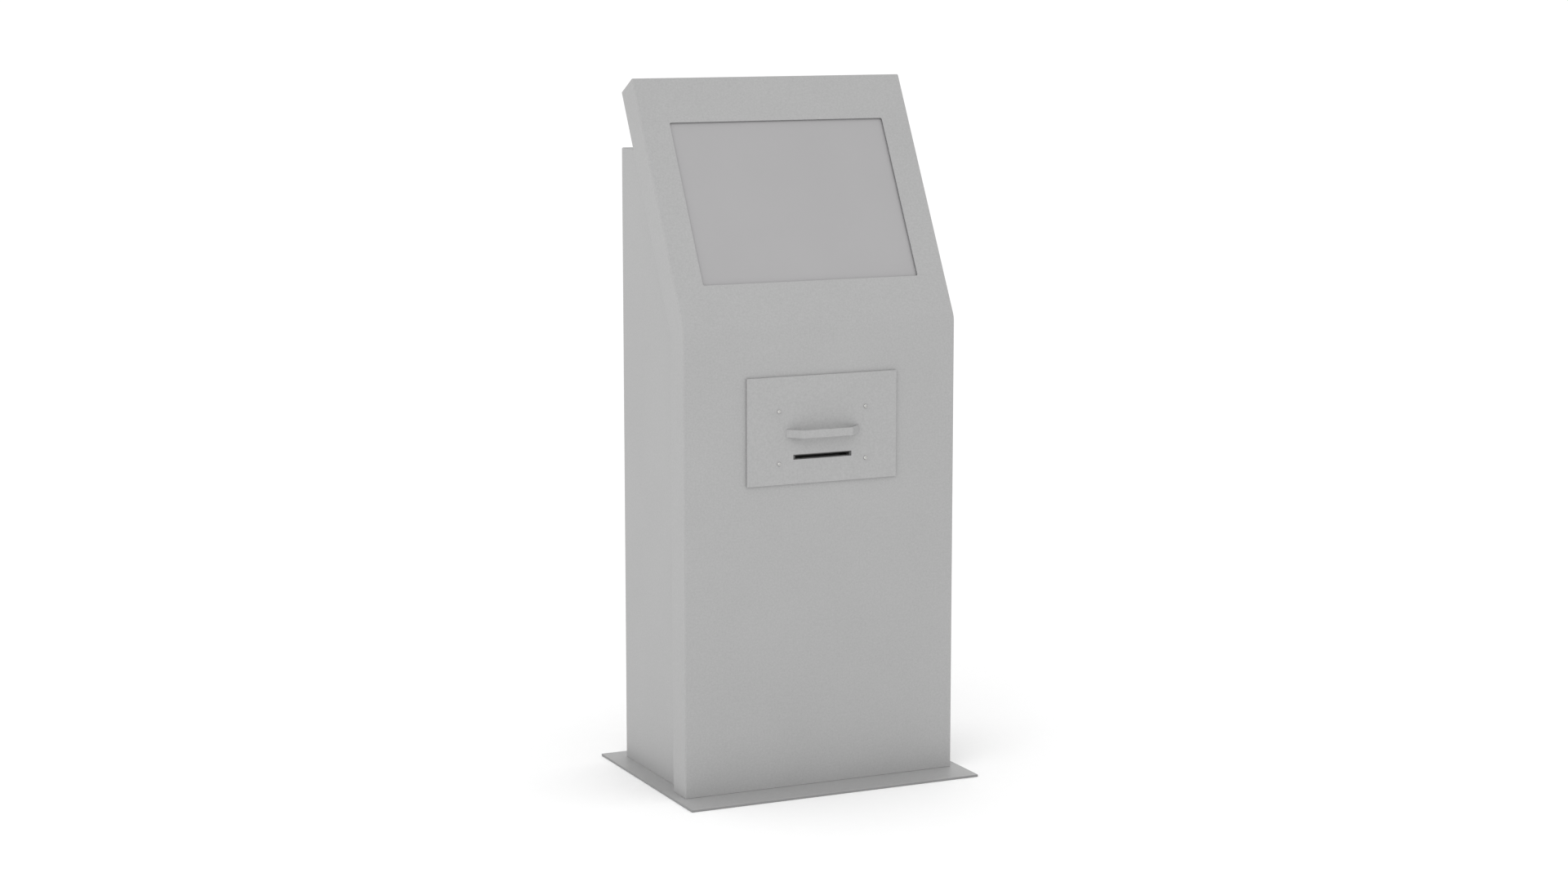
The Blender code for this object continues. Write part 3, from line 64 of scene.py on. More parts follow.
def addNode(tree, kind, settings, links=None):
    # one node with its settings, by property or socket, and the outputs that feed its sockets
    node = tree.nodes.new(kind)
    for key, value in settings.items():
        if isinstance(key, str) and hasattr(node, key):
            setattr(node, key, value)
        else:
            node.inputs[key].default_value = value
    for key, (source, socket) in (links or {}).items():
        tree.links.new(source.outputs[socket], node.inputs[key])
    return node


def patterned(name, settings, look):
    # a material whose tone, roughness and relief follow one noise, with slow clouds over its tone
    material = bpy.data.materials.new(name)
    material.use_nodes = True
    tree = material.node_tree
    shader = tree.nodes["Principled BSDF"]
    for key, value in settings.items():
        shader.inputs[key].default_value = value
    point = addNode(tree, "ShaderNodeTexCoord", {})
    stretch = addNode(
        tree, "ShaderNodeMapping", {"Scale": look.get("stretch", (1, 1, 1))}, {"Vector": (point, "Object")}
    )
    scale = 1 / (look["grain"] * mm)
    grain = addNode(
        tree, "ShaderNodeTexNoise", {"Scale": scale, "Detail": 2.0}, {"Vector": (stretch, "Vector")}
    )
    scale = 1 / (look["clouds"] * mm)
    clouds = addNode(
        tree, "ShaderNodeTexNoise", {"Scale": scale, "Detail": 3.0}, {"Vector": (point, "Object")}
    )
    share = {"data_type": "FLOAT", "Factor": look.get("cloudShare", 0.5)}
    blend = addNode(tree, "ShaderNodeMix", share, {"A": (grain, "Fac"), "B": (clouds, "Fac")})
    span = {"From Min": 0.3, "From Max": 0.7}  # where most of a noise's values lie
    spread = addNode(tree, "ShaderNodeMapRange", span, {"Value": (blend, 0)})
    dark, light = (linearColour(tone) for tone in look["tones"])
    tones = {"data_type": "RGBA", 6: dark, 7: light}  # a colour mix takes A and B at 6 and 7
    tone = addNode(tree, "ShaderNodeMix", tones, {"Factor": (spread, "Result")})
    smooth, rough = look["roughness"]
    gloss = addNode(
        tree, "ShaderNodeMapRange", {"To Min": smooth, "To Max": rough}, {"Value": (grain, "Fac")}
    )
    bumps = {"Strength": look.get("strength", 0.3), "Distance": look["relief"] * mm}
    relief = addNode(tree, "ShaderNodeBump", bumps, {"Height": (grain, "Fac")})
    tree.links.new(tone.outputs[2], shader.inputs["Base Color"])
    tree.links.new(gloss.outputs["Result"], shader.inputs["Roughness"])
    tree.links.new(relief.outputs["Normal"], shader.inputs["Normal"])
    return material


def paintShadeBelow(material, height, hexColour):
    # paints shade into a finish: a darker tone below a height
    tree = material.node_tree
    colour = tree.nodes["Principled BSDF"].inputs["Base Color"]
    unshadedTone = colour.links[0].from_node
    point = addNode(tree, "ShaderNodeTexCoord", {})
    split = addNode(tree, "ShaderNodeSeparateXYZ", {}, {"Vector": (point, "Object")})
    fade = {"From Min": height - 0.4 * mm, "From Max": height, "To Min": 1.0, "To Max": 0.0}
    # the mask of the painted shade: 1 below the height, 0 above it
    paintedShadeMask = addNode(tree, "ShaderNodeMapRange", fade, {"Value": (split, "Z")})
    paintedShadeMix = {"data_type": "RGBA", 7: linearColour(hexColour)}
    tone = addNode(tree, "ShaderNodeMix", paintedShadeMix, {"Factor": (paintedShadeMask, "Result"), 6: (unshadedTone, 2)})
    tree.links.new(tone.outputs[2], colour)


# In every look, grain, clouds and relief are in mm, and the tones run from the darkest to the lightest.
metal = {"Metallic": 1.0}
# polyester powder coat on folded steel: one even light grey, satin, with a soft orange peel.
# The peel's bumps are about 1.5 mm apart, drawn at 3.5 mm so that they show.
powderCoat = {
    "tones": ("#9D9D9D", "#A7A7A7"), "roughness": (0.42, 0.54),
    "grain": 3.5, "clouds": 180, "cloudShare": 0.2, "relief": 0.12, "strength": 0.55,
}
powderCoatedSteel = patterned("powderCoatedSteel", {"IOR": 1.5}, powderCoat)
# the base plate's coat: the same grey, with painted shade: below its top face its cut edge turns to a
# darker line, standing in for the shade near the floor
paintedShadeBaseCoat = patterned("paintedShadeBaseCoat", {"IOR": 1.5}, powderCoat)
paintShadeBelow(paintedShadeBaseCoat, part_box("base_plate")[1].z - 0.1 * mm, "#848484")
# bright zinc on folded sheet: cool grey, with a fine rolling grain and cloudy passivation
zincPlatedSteel = patterned("zincPlatedSteel", metal, {
    "tones": ("#AEB1B3", "#C1C3C5"), "roughness": (0.30, 0.46),
    "grain": 1.2, "stretch": (6, 1, 6), "clouds": 40, "cloudShare": 0.6, "relief": 0.01,
})
# turned and polished steel: bright, with fine tool lines 0.6 mm apart
turnedSteel = patterned("turnedSteel", metal, {
    "tones": ("#AFAFAD", "#CBCBC9"), "roughness": (0.20, 0.32),
    "grain": 0.6, "clouds": 20, "relief": 0.005,
})
# stamped galvanised steel of a display's back: duller, with larger soft patches
stampedSteel = patterned("stampedSteel", metal, {
    "tones": ("#84888B", "#A3A6A8"), "roughness": (0.36, 0.52),
    "grain": 2.0, "stretch": (1, 5, 1), "clouds": 60, "relief": 0.01,
})
# brushed aluminium of a power supply's case: pale lines along its length
brushedAluminium = patterned("brushedAluminium", metal, {
    "tones": ("#B9BBBD", "#D2D4D5"), "roughness": (0.30, 0.42),
    "grain": 0.8, "stretch": (8, 0.5, 8), "clouds": 50, "cloudShare": 0.3, "relief": 0.01,
})
# turned brass: warm yellow, bright where it is cut
turnedBrass = patterned("turnedBrass", metal, {
    "tones": ("#B6954C", "#D0AF63"), "roughness": (0.18, 0.30),
    "grain": 0.5, "clouds": 12, "relief": 0.005,
})
# moulded ABS with a spark-eroded face: near-black and matt
blackAbs = patterned("blackAbs", {"IOR": 1.53}, {
    "tones": ("#303030", "#383838"), "roughness": (0.48, 0.62),
    "grain": 0.9, "clouds": 60, "relief": 0.03,
})
# the same ABS moulding in a slate grey
greyAbs = patterned("greyAbs", {"IOR": 1.53}, {
    "tones": ("#595C61", "#64676C"), "roughness": (0.45, 0.60),
    "grain": 0.9, "clouds": 60, "relief": 0.03,
})
# acetal of the note slot: dark and a little waxy, so that notes slide over it
darkAcetal = patterned("darkAcetal", {"IOR": 1.48}, {
    "tones": ("#4A4A4A", "#545454"), "roughness": (0.36, 0.46),
    "grain": 0.8, "clouds": 30, "relief": 0.01,
})
# nitrile rubber: matt black with a dusty bloom
nitrileRubber = patterned("nitrileRubber", {"IOR": 1.52}, {
    "tones": ("#1E1E1E", "#2B2A2A"), "roughness": (0.70, 0.88),
    "grain": 1.2, "clouds": 25, "relief": 0.03,
})
# etched glass over an unlit grey panel: an even grey with a broad, soft sheen
etchedGlass = patterned("etchedGlass", {"IOR": 1.52, "Coat Weight": 0.3, "Coat Roughness": 0.10}, {
    "tones": ("#9C9B9C", "#9F9E9F"), "roughness": (0.26, 0.34),
    "grain": 1.2, "clouds": 200, "cloudShare": 0.8, "relief": 0.004,
})

slotMaterials = {
    "casing": powderCoatedSteel,
    "zinc_steel": zincPlatedSteel,
    "bright_steel": turnedSteel,
    "black_plastic": blackAbs,
    "rubber": nitrileRubber,
    "screen_glass": etchedGlass,
    "brass": turnedBrass,
    "grey_plastic": greyAbs,
    "display_housing": stampedSteel,
    "supply_housing": brushedAluminium,
}
# parts whose finish is their own, whatever their slot
nodeFinishes = {"base_plate": paintedShadeBaseCoat, "slot_throat": darkAcetal, "slot_shutter": darkAcetal}
nodeSlots = {part["node"]: part["material_slot"] for part in frame["record"]["subparts"]}
for node, seen in frame["nodes"].items():
    seen.data.materials.clear()
    seen.data.materials.append(slotMaterials[nodeSlots[node]])
print("materials ready")


toFront = 90  # degrees about X that bring a shape's +Z to the front
toBack = -90


def place(x=0.0, y=0.0, z=0.0, turn=0, axis="X"):
    # a position, and a turn in degrees about one axis
    return Matrix.Translation((x, y, z)) @ Matrix.Rotation(math.radians(turn), 4, axis)


def put(shape, matrix):
    bmesh.ops.transform(shape, matrix=matrix, verts=shape.verts)
    return shape


def bevel(shape, parts, width, segments, affect="EDGES"):
    bmesh.ops.bevel(
        shape, geom=parts, offset=width, offset_type="OFFSET", segments=segments, profile=0.5,
        affect=affect, clamp_overlap=True, material=-1,
    )


def soften(shape, width, segments=3, least=30, keep=None):
    # rounds the edges that turn by more than a number of degrees
    limit = math.radians(least)
    edges = [e for e in shape.edges if len(e.link_faces) == 2 and e.calc_face_angle() > limit]
    bevel(shape, [e for e in edges if keep is None or keep(e)], width, segments)
    return shape


def longer(axis, length):
    # a test for edges that reach further than a length along an axis, 0 to 2
    return lambda edge: abs(edge.verts[0].co[axis] - edge.verts[1].co[axis]) > length


def slab(low, high, rounding=0.0, segments=2):
    # a box between two corners
    shape = bmesh.new()
    bmesh.ops.create_cube(shape, size=1.0)
    bmesh.ops.scale(shape, vec=Vector(high) - Vector(low), verts=shape.verts)
    bmesh.ops.translate(shape, vec=(Vector(high) + Vector(low)) / 2, verts=shape.verts)
    return soften(shape, rounding, segments) if rounding else shape


def rod(radius, length, matrix, rounding, segments):
    # a cylinder along its own Z, centred
    shape = bmesh.new()
    bmesh.ops.create_cone(
        shape, cap_ends=True, segments=segments, radius1=radius, radius2=radius, depth=length
    )
    return put(soften(shape, rounding, 2, 60), matrix)


def lathe(profile, matrix, steps=40, closed=False):
    # a chain of (radius, height) points spun about its own Z
    shape = bmesh.new()
    chain = [shape.verts.new((radius, 0, height)) for radius, height in profile]
    follow = chain[1:] + chain[:1] if closed else chain[1:]
    edges = [shape.edges.new(pair) for pair in zip(chain, follow)]
    bmesh.ops.spin(
        shape, geom=chain + edges, cent=(0, 0, 0), axis=(0, 0, 1), angle=math.tau, steps=steps,
        use_merge=True,
    )
    bmesh.ops.remove_doubles(shape, verts=shape.verts, dist=0.001 * mm)
    bmesh.ops.recalc_face_normals(shape, faces=shape.faces)
    return put(shape, matrix)


def vertsOf(parts):
    return [part for part in parts if isinstance(part, bmesh.types.BMVert)]


def openEdges(parts):
    return [part for part in parts if isinstance(part, bmesh.types.BMEdge) and len(part.link_faces) == 1]


def closeEnd(shape):
    # caps the one open rim of a lathed shape
    bmesh.ops.edgeloop_fill(shape, edges=openEdges(shape.edges))
    bmesh.ops.recalc_face_normals(shape, faces=shape.faces)


def drawOut(shape, edges, shift):
    # walls from edges along a vector; gives back the new parts
    made = bmesh.ops.extrude_edge_only(shape, edges=edges)["geom"]
    bmesh.ops.translate(shape, vec=shift, verts=vertsOf(made))
    return made


def prism(outline, push):
    # a flat outline of a few points, pushed along a vector
    shape = bmesh.new()
    face = shape.faces.new([shape.verts.new(point) for point in outline])
    pushed = bmesh.ops.extrude_face_region(shape, geom=[face])["geom"]
    bmesh.ops.translate(shape, vec=push, verts=vertsOf(pushed))
    bmesh.ops.recalc_face_normals(shape, faces=shape.faces)
    return shape


def joined(shapes):
    # several shapes as one bmesh
    whole = bmesh.new()
    for shape in shapes:
        mesh = bpy.data.meshes.new("shape")
        shape.to_mesh(mesh)
        shape.free()
        whole.from_mesh(mesh)
        bpy.data.meshes.remove(mesh)
    return whole


def roundedHole(shape, width, height, radius, matrix):
    # the edges of a rounded rectangle, drawn in XY and put in place
    before = set(shape.faces)
    verts = bmesh.ops.create_grid(shape, x_segments=1, y_segments=1, size=0.5)["verts"]
    bmesh.ops.scale(shape, vec=(width, height, 1), verts=verts)
    bevel(shape, verts, radius, 6, "VERTICES")
    face = next(f for f in shape.faces if f not in before)
    edges = list(face.edges)
    bmesh.ops.transform(shape, matrix=matrix, verts=list(face.verts))
    bmesh.ops.delete(shape, geom=[face], context="FACES_ONLY")
    return edges


def corners(across, up):
    # the four corners of a rectangle about the origin, by its half sizes
    return [(x, y) for x in (-across, across) for y in (-up, up)]


def slotHole(shape, length, height, matrix):
    # a slot with round ends
    return roundedHole(shape, length, height, height * 0.49, matrix)


def roundHole(shape, radius, matrix, segments=32):
    verts = bmesh.ops.create_circle(shape, cap_ends=False, segments=segments, radius=radius)["verts"]
    bmesh.ops.transform(shape, matrix=matrix, verts=verts)
    return list(dict.fromkeys(edge for vert in verts for edge in vert.link_edges))


def facing(shape, direction):
    # the largest face that looks along a direction
    aim = Vector(direction).normalized()
    shape.normal_update()
    return max((f for f in shape.faces if f.normal.dot(aim) > 0.999), key=lambda f: f.calc_area())


def pierce(shape, face, holes):
    # fills a flat face again round hole outlines that lie in its plane
    edges = list(face.edges) + [edge for hole in holes for edge in hole]
    normal = face.normal.copy()
    bmesh.ops.delete(shape, geom=[face], context="FACES_ONLY")
    made = bmesh.ops.triangle_fill(shape, use_beauty=True, use_dissolve=False, edges=edges, normal=normal)
    made = {part for part in made["geom"] if isinstance(part, bmesh.types.BMFace)}
    inner = [e for e in shape.edges if len(e.link_faces) == 2 and made.issuperset(e.link_faces)]
    # slivers would show as lines once the edges are rounded, so they are merged into few faces
    bmesh.ops.dissolve_limit(shape, angle_limit=0.01, edges=inner)


def pocket(shape, face, holes, depth):
    # sinks hole outlines into a flat face, each with a floor
    inward = -depth * face.normal
    pierce(shape, face, holes)
    for hole in holes:
        sunk = drawOut(shape, hole, inward)
        bmesh.ops.edgeloop_fill(shape, edges=openEdges(sunk))
    bmesh.ops.recalc_face_normals(shape, faces=shape.faces)
    return shape


def through(shape, direction, holes, thickness):
    # cuts hole outlines through from the face that looks one way to the one behind it
    face = facing(shape, direction)
    inward = -thickness * face.normal
    pierce(shape, face, holes)
    rims = [openEdges(drawOut(shape, hole, inward)) for hole in holes]
    pierce(shape, facing(shape, inward), rims)
    bmesh.ops.recalc_face_normals(shape, faces=shape.faces)
    return shape


def refined(node):
    # a copy of a CAD piece, welded, with its flat faces made whole
    shape = bmesh.new()
    shape.from_mesh(frame["nodes"][node].data)
    bmesh.ops.remove_doubles(shape, verts=shape.verts, dist=0.002 * mm)
    bmesh.ops.dissolve_limit(shape, angle_limit=math.radians(1), verts=shape.verts, edges=shape.edges)
    return shape


def boxCentre(node):
    low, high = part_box(node)
    return (low + high) / 2


def bodyOf(node):
    bodies = frame["record"]["behaviour"]["bodies"]
    return next(body for body, nodes in bodies.items() if node in nodes)


def jointPlace(name):
    joints = frame["record"]["behaviour"]["joints"]
    return next(joint["pos_m"] for joint in joints if joint["name"] == name)


def applyModifiers(piece):
    view = bpy.context.evaluated_depsgraph_get()
    mesh = bpy.data.meshes.new_from_object(piece.evaluated_get(view))
    piece.modifiers.clear()
    piece.data = mesh


def makePiece(name, shapes, slotName, body, nodes=(), rounding=0.0, wall=0.0, smooth=38):
    # one finished object: a sheet gets its wall, edges their rounding, and faces a smooth shade
    whole = joined(shapes)
    mesh = bpy.data.meshes.new(name)
    whole.to_mesh(mesh)
    whole.free()
    piece = bpy.data.objects.new(name, mesh)
    bpy.context.scene.collection.objects.link(piece)
    if wall:
        solid = piece.modifiers.new("wall", "SOLIDIFY")
        solid.thickness = wall
        solid.offset = -1.0
        solid.use_even_offset = True
        applyModifiers(piece)
    if rounding:
        edges = piece.modifiers.new("rounding", "BEVEL")
        edges.width = rounding
        edges.segments = 2
        edges.limit_method = "ANGLE"
        edges.angle_limit = math.radians(smooth)
        applyModifiers(piece)
    piece.data.shade_smooth()
    piece.data.set_sharp_from_angle(angle=math.radians(smooth))
    weights = piece.modifiers.new("shading", "WEIGHTED_NORMAL")  # large flat faces keep their shade
    weights.keep_sharp = True
    weights.weight = 90
    weights.thresh = mm * mm
    applyModifiers(piece)
    finish = next((nodeFinishes[n] for n in nodes if n in nodeFinishes), slotMaterials[slotName])
    piece.data.materials.append(finish)
    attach(piece, body)
    if nodes:
        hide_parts(*nodes)
    return piece


def easeNodes(nodes, rounding):
    # CAD pieces that are right as they are, with their edges rounded
    for node in nodes:
        makePiece(node + "_eased", [refined(node)], nodeSlots[node], bodyOf(node), [node], rounding)


def screwHead(size, matrix, shank=0.0):
    # a button head of (radius, dome) with a hexagon socket, seated on z = 0 of its place
    radius, dome = size
    neck = radius * 0.5
    profile = [(radius * 0.52, dome), (radius * 0.78, dome * 0.82), (radius * 0.95, dome * 0.42)]
    profile += [(radius, dome * 0.12), (radius * 0.96, 0.0), (neck, 0.0)]
    profile += [(neck, -shank), (0.0, -shank)] if shank else [(0.0, 0.0)]
    head = lathe(profile, Matrix.Identity(4), 24)
    closeEnd(head)
    socket = roundHole(head, radius * 0.38, place(z=dome), 6)
    pocket(head, facing(head, (0, 0, 1)), [socket], dome * 0.55)
    return put(head, matrix)


# button heads as (radius, dome)
screws = {
    "plate": (4.1 * mm, 2.2 * mm),
    "small": (2.8 * mm, 1.5 * mm),
    "terminal": (3 * mm, 1.6 * mm),
    "panel": (2.4 * mm, 1.1 * mm),
}

# the bent front's driving sizes
front = {
    "slope": 61.92,  # degrees from level
    "bendRise": 942.5 * mm,
    "headLength": 547.6 * mm,
    "bendRadius": 35 * mm,
    "returnDepth": 64 * mm,
    "lip": 19.1 * mm,
    "sideRounding": 3 * mm,
    "windowFromBend": 93.6 * mm,
    "window": (476 * mm, 354 * mm),
    "windowCorner": 4 * mm,
    "bayMargin": 12 * mm,
    "bayCorner": 2 * mm,
    "edge": 0.35 * mm,
}
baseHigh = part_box("base_plate")[1]
frontLow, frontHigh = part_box("front_fascia")
bodyLow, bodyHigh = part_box("body_shell")
plateLow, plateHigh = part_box("module_plate")
doorLow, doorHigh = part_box("rear_door")
slope = math.radians(front["slope"])
bendPoint = Vector((0, frontLow.y, baseHigh.z + front["bendRise"]))
upSlope = Vector((0, math.cos(slope), math.sin(slope)))
intoHead = Vector((0, math.sin(slope), -math.cos(slope)))
headPlace = Matrix.Translation(bendPoint) @ Matrix.Rotation(slope, 4, "X")  # x, up the slope, out


def onFront(depth, along, x=0.0):
    # a point behind the slope's face, so far along it from the bend
    return bendPoint + upSlope * along + intoHead * depth + Vector((x, 0, 0))


def bendCorner(depth, x=0.0):
    # the bend's sharp corner on the sheet at a depth
    drop = depth * math.tan((math.pi / 2 - slope) / 2)
    return Vector((x, frontLow.y + depth, bendPoint.z - drop))


def sideEdge(edge):
    # an edge that runs up the front's side, not across its foot
    return min(v.co.z for v in edge.verts) > frontLow.z + mm or longer(2, mm)(edge)


def makeFront():
    half = frontHigh.x
    depth = front["returnDepth"]
    length = front["headLength"]
    outline = [Vector((-half, frontLow.y, frontLow.z)), bendCorner(0, -half), onFront(0, length, -half)]
    outline += [onFront(depth, length, -half), bendCorner(depth, -half)]
    outline.append(Vector((-half, frontLow.y + depth, frontLow.z)))
    shape = prism(outline, (2 * half, 0, 0))
    reach = front["bendRadius"] * math.tan((math.pi / 2 - slope) / 2)
    nearBend = bendCorner(0)
    bend = [e for e in shape.edges if all((Vector((0, *v.co.yz)) - nearBend).length < mm for v in e.verts)]
    bevel(shape, bend, reach, 16)
    soften(shape, front["sideRounding"], 4, 60, sideEdge)
    shape.normal_update()
    # the back opens inside its lip, and the foot opens downwards
    backs = [f for f in shape.faces if f.normal.y > 0.85 and f.calc_area() > 0.01]
    bmesh.ops.inset_region(
        shape, faces=backs, thickness=front["lip"] - front["sideRounding"], use_even_offset=True,
        use_boundary=True,
    )
    shape.normal_update()
    sills = []
    for face in shape.faces:
        middle = face.calc_center_median()
        low = abs(middle.x) < half / 2 and middle.z < frontLow.z + front["lip"]
        if face.normal.y > 0.99 and face not in backs and low:
            sills.append(face)
    bottoms = [f for f in shape.faces if f.normal.z < -0.99]
    bmesh.ops.delete(shape, geom=backs + bottoms + sills, context="FACES")
    width, height = front["window"]
    middle = headPlace @ place(y=front["windowFromBend"] + height / 2)
    window = roundedHole(shape, width, height, front["windowCorner"], middle)
    pierce(shape, facing(shape, -intoHead), [window])
    margin = 2 * front["bayMargin"]
    width, height = plateHigh.x - plateLow.x - margin, plateHigh.z - plateLow.z - margin
    middle = place(0, frontLow.y, (plateLow.z + plateHigh.z) / 2, toFront)
    bay = roundedHole(shape, width, height, front["bayCorner"], middle)
    pierce(shape, facing(shape, (0, -1, 0)), [bay])
    makePiece("front_panel", [shape], "casing", "cabinet", ["front_fascia"], front["edge"], sheet)


makeFront()
print("front made")


# the sheet body: sides, top and door frame in one wrap
wrap = {
    "insert": 20 * mm,  # how far its sides stand behind the front's face
    "headRoom": 54 * mm,
    "rounding": 3 * mm,
    "footFlange": 22 * mm,
    "doorFrame": 20.5 * mm,
    "doorwayCorner": 1.5 * mm,
    "sill": 80 * mm,
    "header": 41 * mm,
    "inletCentre": (170 * mm, 47 * mm),
    "inletHole": (60 * mm, 28 * mm, 1 * mm),  # width, height, corner
    "edge": 0.35 * mm,
}


def alongSlope(height, depth):
    # how far along the slope a height lies, on the sheet at a depth
    return (height - bendPoint.z + depth * math.cos(slope)) / math.sin(slope)


def makeBody():
    half, back, top = bodyHigh
    low = bodyLow.z
    insert = wrap["insert"]
    outline = [Vector((-half, frontLow.y + insert, low)), bendCorner(insert, -half)]
    outline.append(Vector((-half, onFront(insert, alongSlope(top, insert)).y, top)))
    outline += [Vector((-half, back, top)), Vector((-half, back, low))]
    shape = prism(outline, (2 * half, 0, 0))
    fronts = [f for f in shape.faces if f.normal.y < -0.5]
    bmesh.ops.delete(shape, geom=fronts, context="FACES")
    floor = facing(shape, (0, 0, -1))
    strips = bmesh.ops.inset_individual(
        shape, faces=[floor], thickness=wrap["footFlange"], use_even_offset=True
    )["faces"]
    ahead = min(strips, key=lambda f: f.calc_center_median().y)
    bmesh.ops.delete(shape, geom=[floor, ahead], context="FACES")
    soften(shape, wrap["rounding"], 4, 60, lambda edge: max(v.co.z for v in edge.verts) > low + mm)
    wide = 2 * (half - wrap["doorFrame"])
    head, foot = top - wrap["header"], low + wrap["sill"]
    middle = place(0, back, (head + foot) / 2, toFront)
    doorway = roundedHole(shape, wide, head - foot, wrap["doorwayCorner"], middle)
    x, z = wrap["inletCentre"]
    mains = roundedHole(shape, *wrap["inletHole"], place(x, back, z, toFront))
    pierce(shape, facing(shape, (0, 1, 0)), [doorway, mains])
    lid = facing(shape, (0, 0, 1))
    bmesh.ops.bisect_plane(
        shape, geom=[lid, *lid.edges, *lid.verts], plane_co=onFront(wrap["headRoom"], 0),
        plane_no=-intoHead, clear_outer=True,
    )
    makePiece("body_wrap", [shape], "casing", "cabinet", ["body_shell"], wrap["edge"], sheet)


# the cover behind the screen's head, with its air slots
headCover = {
    "depth": 61.7 * mm,
    "sheet": 1.5 * mm,
    "top": 545.4 * mm,
    "half": 297.7 * mm,
    "slots": 4,
    "slot": (300 * mm, 6 * mm),
    "firstSlot": 38 * mm,
    "pitch": 16 * mm,
    "edge": 0.25 * mm,
}


def makeHeadCover():
    depth = headCover["depth"]
    low = alongSlope(bodyHigh.z + gap, depth)
    high = headCover["top"]
    half = headCover["half"]
    shape = bmesh.new()
    outline = [onFront(depth, low, -half), onFront(depth, high, -half)]
    outline += [onFront(depth, high, half), onFront(depth, low, half)]
    shape.faces.new([shape.verts.new(point) for point in outline])
    shape.normal_update()
    if shape.faces[:][0].normal.dot(intoHead) < 0:
        bmesh.ops.reverse_faces(shape, faces=shape.faces)
    slots = []
    for row in range(headCover["slots"]):
        middle = low + headCover["firstSlot"] + row * headCover["pitch"]
        slots.append(slotHole(shape, *headCover["slot"], headPlace @ place(0, middle, -depth)))
    pierce(shape, facing(shape, intoHead), slots)
    cover, edge, wall = ["head_back_cover"], headCover["edge"], headCover["sheet"]
    makePiece("head_rear_cover", [shape], "casing", "cabinet", cover, edge, wall)


# the screen: gasket, glass and the display's housing, by depth behind the slope's face
screen = {
    "glassMargin": 9 * mm,
    "gasket": (2.3 * mm, 4.2 * mm),
    "gasketEdge": 1 * mm,
    "glass": (4.5 * mm, 8.5 * mm),
    "glassRounding": 0.6 * mm,
    "housing": (8.8 * mm, 38.8 * mm),
    "housingMargin": 12.5 * mm,
    "housingRounding": 1.5 * mm,
    "bead": (20 * mm, 9.5 * mm),  # upright: width and corner
    "levelBead": (16 * mm, 7.5 * mm),
    "beadDepth": 1.5 * mm,
    "electronics": (220 * mm, 140 * mm),
    "electronicsEnd": 52.8 * mm,
    "vents": 13,
    "ventPitch": 12 * mm,
    "vent": (5 * mm, 50 * mm, 2.4 * mm),  # width, height, corner
    "ventDepth": 2 * mm,
    "ports": ((-70 * mm, 18 * mm), (-35 * mm, 15 * mm), (20 * mm, 12 * mm), (60 * mm, 24 * mm)),  # x, width
    "portReach": 5 * mm,
    "screwInset": 9 * mm,
}


def makeScreen():
    width, height = front["window"]
    centre = headPlace @ place(y=front["windowFromBend"] + height / 2)
    wide = width / 2 + screen["glassMargin"]
    tall = height / 2 + screen["glassMargin"]
    near, far = screen["gasket"]
    edge = 2 * screen["gasketEdge"]
    gasket = slab((-wide, -tall, -far), (wide, tall, -near))
    opening = roundedHole(gasket, width + edge, height + edge, front["windowCorner"], place(z=-near))
    through(gasket, (0, 0, 1), [opening], far - near)
    makePiece("window_gasket", [put(gasket, centre)], "rubber", "cabinet", ["screen_gasket"], 0.3 * mm)
    near, far = screen["glass"]
    glass = slab((-wide, -tall, -far), (wide, tall, -near), screen["glassRounding"])
    makePiece("etched_glass", [put(glass, centre)], "screen_glass", "cabinet", ["touch_glass"])
    wide = width / 2 + screen["housingMargin"]
    tall = height / 2 + screen["housingMargin"]
    near, far = screen["housing"]
    housing = slab((-wide, -tall, -far), (wide, tall, -near), screen["housingRounding"])
    beads = []
    broad, corner = screen["bead"]
    levelBroad, levelCorner = screen["levelBead"]
    for side in (-1, 1):
        upright = place(side * wide * 0.8, 0, -far)
        level = place(0, side * tall * 0.82, -far)
        beads.append(roundedHole(housing, broad, tall * 1.5, corner, upright))
        beads.append(roundedHole(housing, wide * 0.8, levelBroad, levelCorner, level))
    pocket(housing, facing(housing, (0, 0, -1)), beads, screen["beadDepth"])
    halfWidth, halfHeight = (size / 2 for size in screen["electronics"])
    end = screen["electronicsEnd"]
    cover = slab((-halfWidth, -halfHeight, -end), (halfWidth, halfHeight, -far + 2 * mm), 2 * mm)
    vents = []
    for column in range(screen["vents"]):
        x = (column - screen["vents"] // 2) * screen["ventPitch"]
        vents.append(roundedHole(cover, *screen["vent"], place(x, 0, -end)))
    pocket(cover, facing(cover, (0, 0, -1)), vents, screen["ventDepth"])
    shapes = [housing, cover]
    under = -halfHeight - screen["portReach"]
    for x, size in screen["ports"]:
        low = (x - size / 2, under, -end + 3 * mm)
        port = slab(low, (x + size / 2, -halfHeight + mm, -far - mm), 0.8 * mm)
        middle = place(x, under, -(end + far) / 2 + mm, toFront)
        mouth = roundedHole(port, size - 4 * mm, 5 * mm, 1 * mm, middle)
        shapes.append(pocket(port, facing(port, (0, -1, 0)), [mouth], 4 * mm))
    for x, y in corners(wide - screen["screwInset"], tall - screen["screwInset"]):
        shapes.append(screwHead(screws["small"], place(x, y, -far, 180)))
    shapes = [put(shape, centre) for shape in shapes]
    makePiece("display_housing", shapes, "display_housing", "cabinet", ["display_unit"], 0.2 * mm)


makeBody()
makeHeadCover()
makeScreen()
easeNodes(["base_plate"], 0.6 * mm)
print("cabinet made")


